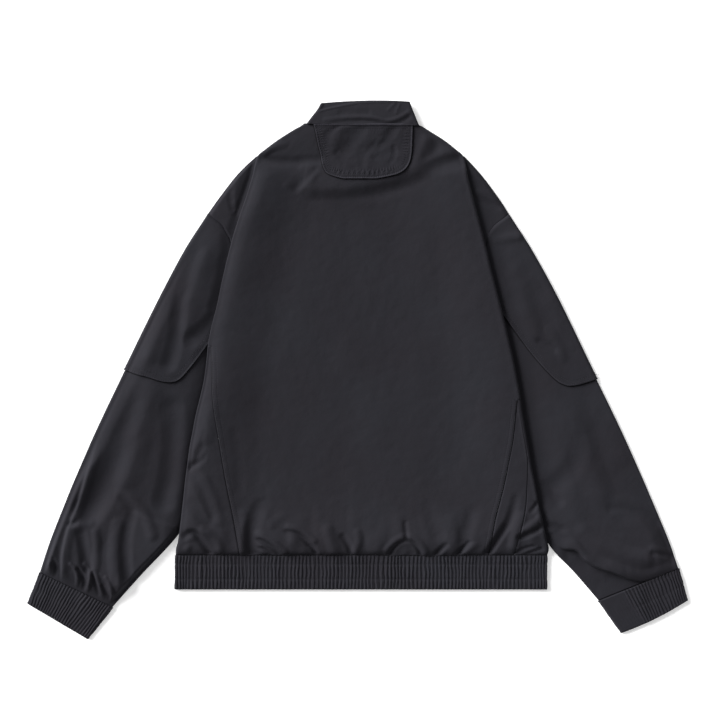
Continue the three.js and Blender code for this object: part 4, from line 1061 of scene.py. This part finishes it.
def sleeve_piece(side):
    """The sleeve's tube, armhole to cuff."""
    t = rows_down((0, 0.84, 140), (0.844, 0.9997, 50))
    points, across, _ = sleeve_surface(side, t)
    from_patch = nearest(patch_path(side), points[..., 0], points[..., 1])[0]
    cover = np.where(points[..., 2] < 2, FAR, from_patch)
    sheet = grid(points, across, -SLEEVE_LENGTH * t, cover=cover, flip=side == "right")
    return mesh_piece(f"sleeve_{side}_tube", [sheet], SLEEVE_CLOTH)


def patch_path(side):
    """The overlay's lower edge as a line of points every few millimetres."""
    rows = PATCH_EDGE[side]
    x = np.linspace(rows["x"][1] - 8, rows["x"][-2] + 8, 90)
    return np.stack([x, along(rows, "x", "y", x)], -1)


def overlay_piece(side):
    """The overlay sewn on the sleeve: it follows the sleeve 1.75 mm further out, closer at the
    armhole, from just round the outer fold to inside the body's edge, down to its lower edge, with
    a raised rim there and a ladder of short puckers beside it."""
    fine_t = np.linspace(0, 0.6, 120)
    points, _, w = sleeve_surface(side, fine_t[:, None])
    columns = np.concatenate([np.arange(-5, -1), np.arange(0, 64)])
    normal = -SIGN[side] * outward(points)
    points, normal, reach = (part[:, columns] for part in (points, normal, w))
    above = points[..., 1] - along(PATCH_EDGE[side], "x", "y", points[..., 0])
    last = np.maximum(np.argmax(above < 0, axis=0), 4)
    column = np.arange(len(columns))
    before, after = above[last - 1, column], above[last, column]
    share = np.clip(before / np.where(before > after, before - after, 1), 0, 1)
    end = lerp(fine_t[last - 1], fine_t[last], share)
    at = lerp(0.0008, end, shares(104).T ** 0.85)
    index = at / fine_t[-1] * (len(fine_t) - 1)
    low = np.clip(np.floor(index).astype(int), 0, len(fine_t) - 2)
    part = (index - low)[..., None]
    surface, normal = (lerp(whole[low, column], whole[low + 1, column], part)
                       for whole in (points, normal))
    away, run = nearest(patch_path(side), surface[..., 0], surface[..., 1])
    away = np.abs(away)
    rim = 0.6 * bump(away - 0.8, 2)
    ladder = 0.3 * np.sin(2 * np.pi * run / 4.2) * bump(away - 8, 5)
    ladder = ladder * (0.7 + 0.6 * ripple(run, away, 16, 51))
    sunk = {"left": 1.2, "right": 0.8}[side]
    rise = OVERLAY_LIFT - sunk + sunk * smooth(at / 0.12) + rim + ladder
    placed = surface + normal * rise[..., None]
    placed[..., 2] = np.maximum(placed[..., 2], FLOOR_LEVEL)
    sheet = grid(placed, reach[60], -SLEEVE_LENGTH * at, seam=(away, run), flip=side == "right")
    return mesh_piece(f"overlay_{side}", [sheet], OVERLAY)


# ---------------------------------------------------------------- gathered bands

def ribs(run, down, pitch, seed):
    """Gathered cloth: rounded ridges whose spacing drifts, that bend as they go down the band and
    whose height varies, from 0 in the grooves to about 1."""
    drift = 0.5 * ripple(run, down * 0.12, 24, seed) + 0.16 * ripple(run, down * 0.8, 9, seed + 1)
    phase = run / pitch + drift
    ridge = np.abs(np.sin(np.pi * phase)) ** 0.75
    strength = 0.82 + 0.3 * ripple(run, down * 0.5, 11, seed + 2)
    split = 0.25 * np.abs(np.sin(2 * np.pi * phase + ripple(run, down, 13, seed + 3))) * ridge
    return ridge * strength - split


def stitch_rows(down, rows, depth):
    """Rows of sewing that press the ribs flat: 1 away from them and less on them."""
    held = 1
    for row in rows:
        held = held * (1 - depth * bump(down - row, 1.8))
    return held


def split_section(left, right, level, under, gap_at, counts):
    """Widths and levels round a band that is open at the zip: under its left half, round, over
    its top and under its right half. Also 1 on the top and 0 underneath."""
    radius = (level - under) / 2
    start, end = left + CLOTH / 2 + radius, right - CLOTH / 2 - radius
    below, top, turn = counts
    sine, cosine = np.sin(half_turn(turn)), np.cos(half_turn(turn))
    return side_by_side([
        (lerp(gap_at - 7, start, shares(below)), under, 0),
        (start - radius * sine, under + radius * (1 - cosine), (1 - cosine) / 2),
        (lerp(start, end, shares(top)), level, 1),
        (end + radius * sine, under + radius * (1 + cosine), (1 + cosine) / 2),
        (lerp(end, gap_at + 7, shares(below)), under, 0),
    ])


def outward(points):
    """Unit normals of a sheet from its neighbours down and across."""
    normal = np.cross(np.gradient(points, axis=0), np.gradient(points, axis=1))
    return normal / np.linalg.norm(normal, axis=-1, keepdims=True)


def gather(points, rise):
    """A band's points moved out by the rise of its ribs, but not into the floor."""
    points = points + outward(points) * rise[..., None]
    points[..., 2] = np.maximum(points[..., 2], FLOOR_LEVEL - 0.25)
    return points


def hem_band():
    """The ribbed hem: a flat band open at the zip, its outer side raised in gathers that two rows
    of stitching hold down."""
    v = rows_down((0, 1, 30))
    left, right = lerp(-268.3, -269.3, v), lerp(277.3, 277.6, v)
    level = lerp(BAND_LEVEL, 4.8, v)
    x, z, top = split_section(left, right, level, FLOOR_LEVEL,
                              zip_x(lerp(HEM_SEAM_Y - 0.3, HEM_Y, v)), (64, 900, 8))
    y = np.broadcast_to(lerp(HEM_SEAM_Y - 0.3, HEM_Y, v), x.shape)
    run = run_across(x, z)
    run = run - run[:, [run.shape[1] // 2]]
    down = HEM_SEAM_Y - y
    held = stitch_rows(down, (13.5, 35.5), 0.7) * smooth((down + 1) / 3)
    held = held * (0.6 + 0.4 * smooth((50.5 - down) / 3))
    rise = 2.1 * ribs(run, down, HEM_WIDTH / HEM_RIBS, 61) * held * np.where(top > 0.5, 1, 0.3)
    return mesh_piece("hem_band_ribbed", [grid(gather(places(x, y, z), rise), run, -down)], RIB)


def cuff_piece(side):
    """A ribbed cuff: a flat tube from the sleeve's end to the wrist, gathered all round except
    for a plain part at the right one's inner side."""
    finish = CUFF_END[side]
    v = rows_down((0.004, 1, 24))
    corners = outlines(side, np.array([[1.0]]))
    outer = [lerp(corners[0][n], finish[n], v) for n in (0, 1)]
    inner = [lerp(corners[1][n], finish[2 + n], v) for n in (0, 1)]
    width = np.hypot(inner[0] - outer[0], inner[1] - outer[1])
    radius = (lerp(CUFF_LEVEL, 4.4, v) - FLOOR_LEVEL) / 2
    start, end = CLOTH / 2 + radius, width - CLOTH / 2 - radius
    w, z = tube_section(lerp(start, end, shares(220)), FLOOR_LEVEL + 2 * radius, start, end,
                        radius, radius, 60)
    share = w / width
    x, y = (lerp(outer[n], inner[n], share) for n in (0, 1))
    if side == "right":
        y = y - 14 * v * share * (1 - share)
    run = run_across(w, z)
    down = CUFF_DEPTH * v
    wave = ribs(run, down + 0 * run, width / CUFF_RIBS, 71 + SIGN[side])
    held = stitch_rows(down, (4, 27, 48), 0.4)
    if side == "right":
        plain = smooth((share - lerp(0.66, 0.6, v)) / 0.07)
        on_top = z > FLOOR_LEVEL + radius
        held = held * np.where(on_top, 1 - 0.93 * plain, 1)
    rise = {"left": 1.8, "right": 2.3}[side] * wave * held * np.where(z > FLOOR_LEVEL + 0.6, 1, 0.3)
    points = gather(places(x, y, z), -SIGN[side] * rise)
    points[:, -1] = points[:, 0]
    sheet = grid(points, run, -down, flip=side == "right")
    return mesh_piece(f"cuff_{side}_ribbed", [sheet], RIB)


def collar_piece():
    """The stand collar: a flat band open at the zip, its upper layer creased along the seam and
    stepped down beyond the outer layer's edge."""
    v = rows_down((0, 1, 30))
    rows = table("v left right level", (0, -54.5, 76, 9.4), (0.3, -60, 80, 10.4),
                 (0.65, -68.5, 85, 11), (1, -76, 90, 11.2))
    left, right, level = (along(rows, "v", column, v) for column in ("left", "right", "level"))
    under = FLOOR_LEVEL + SLIDER_LIFT * 0.85
    x, z, top = split_section(left, right, level, under, zip_x(370.0), (26, 96, 9))
    high = 395 - 2.4 * ((x - 25) / 62) ** 2
    back_seam = neck_line(x) - 1
    front_seam = 338.6 + 22 * np.clip(np.abs(x - NECK_X) / 72, 0, 1) ** 2
    y = lerp(high, np.where(top > 0.2, back_seam, front_seam), v)
    z = np.where(top < 0.01, FLOOR_LEVEL + front_lift(x, y), z)
    beyond = y - along(COLLAR_STEP, "x", "y", x)
    inside = smooth((x - left - 2) / 6) * smooth((right - x - 2) / 6)
    relief = 1.3 * creases(COLLAR_CREASES, x, y) + 0.15 * ripple(x, y, 12, 81) + 0.1 * ripple(x, y, 6, 82)
    relief = relief - 1.1 * smooth((beyond + 0.6) / 1.6) + 0.5 * bump(beyond + 1.6, 2.4)
    z = z + np.where(top > 0.9, relief * inside, 0)
    return mesh_piece("collar_stand", [grid(places(x, y, z), x, y)], SHELL)


def flap_edges(v):
    """The neck flap's left and right edges at a share v of its depth: table rows spaced evenly."""
    spaced = dict(NECK_FLAP, v=np.linspace(0, 1, len(NECK_FLAP["y"])))
    return (along(spaced, "v", column, v) for column in ("y", "left", "right"))


def flap_outline():
    """The flap's sewn edge, down its left side, along the bottom and up its right side."""
    y, left, right = (np.ravel(part) for part in flap_edges(np.linspace(0, 1, 60)))
    return np.concatenate([np.stack([left, y], -1), np.stack([right, y], -1)[::-1]])


def neck_flap():
    """The flap that hangs from the collar seam 1.75 mm above the back: its top edge rolls down
    into the seam, the others have a raised rim and a ladder of short puckers, and soft creases
    cross its middle."""
    v = rows_down((-0.014, -0.007, 2), (0, 1, 104))
    y, left, right = flap_edges(v)
    y = np.where(v < 0, y[2] - 100 * v, y)
    x = lerp(left, right, shares(150))
    y = np.broadcast_to(y, x.shape)
    path = flap_outline()
    path = np.concatenate([path, path[:1] + (0, 1.4)])
    away, run = nearest(path, x, y)
    away = np.abs(away)
    rim = 0.6 * bump(away - 0.8, 2) - 0.12 * bump(away - 3, 2)
    pitch = np.where(y < 292, 7.5, np.where(x < 0, 3.6, 4.6))
    ladder = 0.42 * np.sin(2 * np.pi * run / pitch) * bump(away - 9, 6)
    ladder = ladder * (0.8 + 0.6 * ripple(run, away, 16, 92)) * smooth((352 - y) / 9)
    lift = OVERLAY_LIFT + 0.4 * smooth((away - 12) / 14) + 0.25 * ripple(x, y, 10, 91)
    inner = 1.3 * creases(FLAP_CREASES, x, y) * smooth(away / 8) * smooth((360 - y) / 4)
    crest = 0.5 * bump(y - 359 - 0.5 * ripple(x, 0 * y, 13, 93), 2.6)
    roll = smooth((y - 359.8) / 1.4)
    below = np.where(x < 0, *upper_levels(x, np.minimum(y, 359.9)))
    z = below + lift + rim + ladder + inner + crest - roll
    return mesh_piece("neck_flap_sewn", [grid(places(x, y, z), x, y, seam=(away, run))], FLAP)


# ---------------------------------------------------------------- zip

def tape(side):
    """A zip tape from its edge under the front to just beside the teeth."""
    y = rows_down((391, 371, 8), (368, ZIP_END_Y, 240))
    x = zip_x(y) + SIGN[side] * lerp(np.where(y > 368, 5.4, 3.4), 15, shares(7))
    sheet = grid(places(x, y, 2 + front_lift(x, y)), x, y, flip=side == "left")
    return mesh_piece(f"tape_{side}", [sheet], TAPE, 0.8)


def repeated(name, centres, frames, shape, faces, material):
    """Copies of one small shape: each point is the centre plus the shape turned by the frame."""
    points = centres[:, None, :] + np.einsum("nij,mi->nmj", frames, shape)
    index = np.arange(len(centres))[:, None, None] * len(shape) + np.array(faces)
    mesh = bpy.data.meshes.new(name)
    mesh.from_pydata((points.reshape(-1, 3) * MM).tolist(), [], index.reshape(-1, len(faces[0])).tolist())
    return piece(name, mesh, material)


BLOCK_FACES = [(0, 3, 2, 1), (4, 5, 6, 7), (0, 1, 5, 4), (1, 2, 6, 5), (2, 3, 7, 6), (3, 0, 4, 7)]


def zip_teeth():
    """The closed teeth: small blocks 1.5 mm apart that reach across from either tape in turn, each
    narrower at its foot."""
    y = np.arange(SLIDER_Y - 7, ZIP_END_Y, -1.5)
    sign = np.where(np.arange(len(y)) % 2 == 0, 1.0, -1.0)
    centres = np.stack([zip_x(y) + sign * 0.55, y, 1.7 + front_lift(zip_x(y), y)], -1)
    frames = np.zeros((len(y), 3, 3))
    frames[:, 0, 0] = sign
    frames[:, 1, 1] = sign
    frames[:, 2, 2] = 1
    shape = np.array([(x, w * d, z) for z in (-1.2, 1.2)
                      for x, w, d in ((-2, 0.62, -1), (2.2, 0.45, -1), (2.2, 0.45, 1), (-2, 0.62, 1))])
    return repeated("zip_teeth", centres, frames, shape, BLOCK_FACES, METAL)


# ---------------------------------------------------------------- sewing

def level_on(made):
    """Level of a single layer at any place: its points gathered on a grid of small cells and
    spread to their neighbours, each cell the mean of what reaches it, read back between the
    four nearest cells."""
    cell = 0.8
    points = np.empty(len(made.data.vertices) * 3)
    made.data.vertices.foreach_get("co", points)
    x, y, z = points.reshape(-1, 3).T / MM
    left, low = x.min() - 8, y.min() - 8
    shape = (int((x.max() - left + 8) / cell) + 2, int((y.max() - low + 8) / cell) + 2)
    place = np.rint((x - left) / cell).astype(int), np.rint((y - low) / cell).astype(int)
    total, weight = np.zeros(shape), np.zeros(shape)
    np.add.at(total, place, z)
    np.add.at(weight, place, 1)
    for _ in range(5):
        total, weight = (part + 0.3 * sum(np.roll(part, step, axis) for axis in (0, 1) for step in (-1, 1))
                         for part in (total, weight))
    level = total / np.maximum(weight, 1e-9)

    def at(x, y):
        column, row = (x - left) / cell, (y - low) / cell
        i, j = np.floor(column).astype(int), np.floor(row).astype(int)
        near = lerp(level[i, j], level[i + 1, j], column - i)
        return lerp(near, lerp(level[i, j + 1], level[i + 1, j + 1], column - i), row - j)

    return at


def beside(path, distance):
    """A line moved to its left by a distance."""
    ahead = np.gradient(path, axis=0)
    ahead /= np.linalg.norm(ahead, axis=-1, keepdims=True)
    return path + distance * np.stack([-ahead[:, 1], ahead[:, 0]], -1)


def stitches(name, paths, level):
    """Thread: short rounded bars laid end to end along each path on the cloth's outer side. A bar
    is two rings of four points and a point at each end, turned to the path and the surface."""
    centres, frames = [], []
    for path in paths:
        reach = np.concatenate([[0], np.cumsum(np.hypot(*np.diff(path, axis=0).T))])
        at = np.arange(STITCH_PITCH / 2, reach[-1], STITCH_PITCH)
        before, after = (np.stack([np.interp(at + step, reach, path[:, n]) for n in (0, 1)], -1)
                         for step in (-0.8, 0.8))
        ends = [np.stack([*p.T, level(*p.T)], -1) for p in (before, after)]
        forward = ends[1] - ends[0]
        forward /= np.linalg.norm(forward, axis=-1, keepdims=True)
        across = np.cross([0.0, 0.0, 1.0], forward)
        across /= np.linalg.norm(across, axis=-1, keepdims=True)
        centres.append((ends[0] + ends[1]) / 2 + (0, 0, CLOTH / 2 + 0.08))
        frames.append(np.stack([forward, across, np.cross(forward, across)], 1))
    half = STITCH_LENGTH / 2
    ring = [(0.28, 0), (0, 0.22), (-0.28, 0), (0, -0.22)]
    shape = [(-half, 0, -0.15)] + [(s * half * 0.7, a, b) for s in (-1, 1) for a, b in ring]
    shape += [(half, 0, -0.15)]
    sides = [(n, (n + 1) % 4) for n in range(4)]
    faces = [(0, 1 + m, 1 + n) for n, m in sides]
    faces += [(1 + n, 1 + m, 5 + m) for n, m in sides]
    faces += [(1 + n, 5 + m, 5 + n) for n, m in sides]
    faces += [(9, 5 + n, 5 + m) for n, m in sides]
    return repeated(name, np.concatenate(centres), np.concatenate(frames), np.array(shape), faces,
                    THREAD)


def seam_path(side):
    """The side seam from 22 mm below its top to 3 mm above the hem band."""
    y = np.linspace(APEX[side] - 22, HEM_SEAM_Y + 3, 80)
    return np.stack([seam_x(side, y), y], -1)


# ---------------------------------------------------------------- making everything

back = back_panel()
shoulders = {side: shoulder_panel(side) for side in SIGN}
side_left, side_right = side_panel_left(), side_panel_right()
fronts = {"left": front_left(), "right": front_right()}
sleeves = {side: sleeve_piece(side) for side in SIGN}
overlays = {side: overlay_piece(side) for side in SIGN}
cuffs = {side: cuff_piece(side) for side in SIGN}
hem = hem_band()
collar = collar_piece()
flap = neck_flap()
tapes = {side: tape(side) for side in SIGN}
teeth = zip_teeth()
SEWING = {
    flap: stitches("neck_flap_topstitching", [beside(flap_outline(), d) for d in (2.4, 7.6)],
                   level_on(flap)),
    back: stitches("side_seam_topstitching", [beside(seam_path(side), -SIGN[side] * d)
                                              for side in SIGN for d in (1.6, 6.6)], top_height),
    **{overlays[side]: stitches(f"overlay_{side}_topstitching",
                                [beside(patch_path(side), d) for d in (2.4, 7.6)],
                                level_on(overlays[side])) for side in SIGN},
}

FRONTS = ["front_left_panel", "front_right_panel"]
GATHERED = ("hem_band", "cuff_left", "cuff_right")
SLOTS = {**dict.fromkeys(GATHERED, "rib"), **{f"zip_tape_{side}": "zip_tape" for side in SIGN}}

# For each piece of cloth the CAD node it stands for, the size along the cloth of what is built
# here, in metres, its area where that isn't a plain rectangle's, and the pieces it rests on. A
# whole cut would be larger by what is hidden.
CLOTH_PIECES = {
    back: ("back", (0.515, 0.632), 0.262, FRONTS),
    shoulders["left"]: ("back", (0.089, 0.13), 0.0066, ["back_panel"]),
    shoulders["right"]: ("back", (0.083, 0.13), 0.0065, ["back_panel"]),
    side_left: ("side_left", (0.123, 0.308), 0.0264, ["sleeve_left_tube"]),
    side_right: ("side_right", (0.056, 0.228), 0.0064, ["back_panel"]),
    fronts["left"]: ("front_left", (0.247, 0.623), 0.12, []),
    fronts["right"]: ("front_right", (0.3, 0.623), 0.13, []),
    sleeves["left"]: ("sleeve_left", (0.351, 0.56), 0.158, []),
    sleeves["right"]: ("sleeve_right", (0.329, 0.56), 0.151, []),
    overlays["left"]: ("sleeve_patch_left", (0.108, 0.246), 0.0225, ["sleeve_left_tube"]),
    overlays["right"]: ("sleeve_patch_right", (0.105, 0.26), 0.02, ["sleeve_right_tube"]),
    cuffs["left"]: ("cuff_left", (0.252, 0.052), None, []),
    cuffs["right"]: ("cuff_right", (0.27, 0.052), None, []),
    hem: ("hem_band", (1.155, 0.05), None, []),
    collar: ("collar", (0.31, 0.045), 0.0117, FRONTS),
    flap: ("neck_flap", (0.145, 0.081), 0.0107, ["back_panel"]),
    tapes["left"]: ("zip_tape_left", (0.0117, 0.71), None, ["front_left_panel"]),
    tapes["right"]: ("zip_tape_right", (0.0117, 0.71), None, ["front_right_panel"]),
}
for made, (node, flat, area, rests_on) in CLOTH_PIECES.items():
    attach(made, "jacket")
    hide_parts(node)
    sewing = [SEWING[made]] if made in SEWING else []
    for thread in sewing:
        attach(thread, "jacket")
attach(teeth, "jacket")
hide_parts("zip_chain")

for name in ("zip_slider", "zip_pull"):
    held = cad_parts[name]
    held.data.materials.clear()
    held.data.materials.append(METAL)

# ---------------------------------------------------------------- floor, light and camera

FLOOR_REACH = 6.0  # metres to each side of the jacket
floor_mesh = bpy.data.meshes.new("floor")
floor_mesh.from_pydata([(x * FLOOR_REACH, y * FLOOR_REACH, 0)
                        for x, y in ((-1, -1), (1, -1), (1, 1), (-1, 1))], [], [(0, 1, 2, 3)])
floor = new_object("floor", floor_mesh)
paper, paper_shader, _ = new_material("white paper")
feed(paper_shader, {"Base Color": (0.9, 0.9, 0.9, 1), "Roughness": 0.9,
                    "Emission Color": (1, 1, 1, 1), "Emission Strength": 0.35})
floor_mesh.materials.append(paper)

world = bpy.data.worlds.new("studio")
world.use_nodes = True
feed(world.node_tree.nodes["Background"], {"Color": (1, 1, 1, 1), "Strength": 0.14})
bpy.context.scene.world = world


def far_light(name, place, softness, strength):
    """A large lamp far away, towards `place` from the jacket: softness is its width in degrees."""
    data = bpy.data.lights.new(name, "SUN")
    data.angle = np.radians(softness)
    data.energy = strength
    made = new_object(name, data)
    made.location = place
    made.rotation_mode = "QUATERNION"
    made.rotation_quaternion = (-Vector(place)).to_track_quat("-Z", "Y")


far_light("window", (-2.4, 1.5, 1.15), 40, 9)
far_light("reflector right", (1.9, -0.4, 1.5), 70, 0.6)
far_light("reflector above", (0.2, 2.2, 1.8), 70, 0.4)
far_light("reflector below", (-0.2, -2.2, 1.6), 70, 0.3)

eye = bpy.data.cameras.new("camera")
eye.lens = 100
eye.sensor_width = 36
eye.clip_end = 50
camera = new_object("camera", eye)
camera.location = (0.00294, 0.0147, 2.94)
bpy.context.scene.camera = camera
bpy.context.scene.view_settings.view_transform = "Standard"
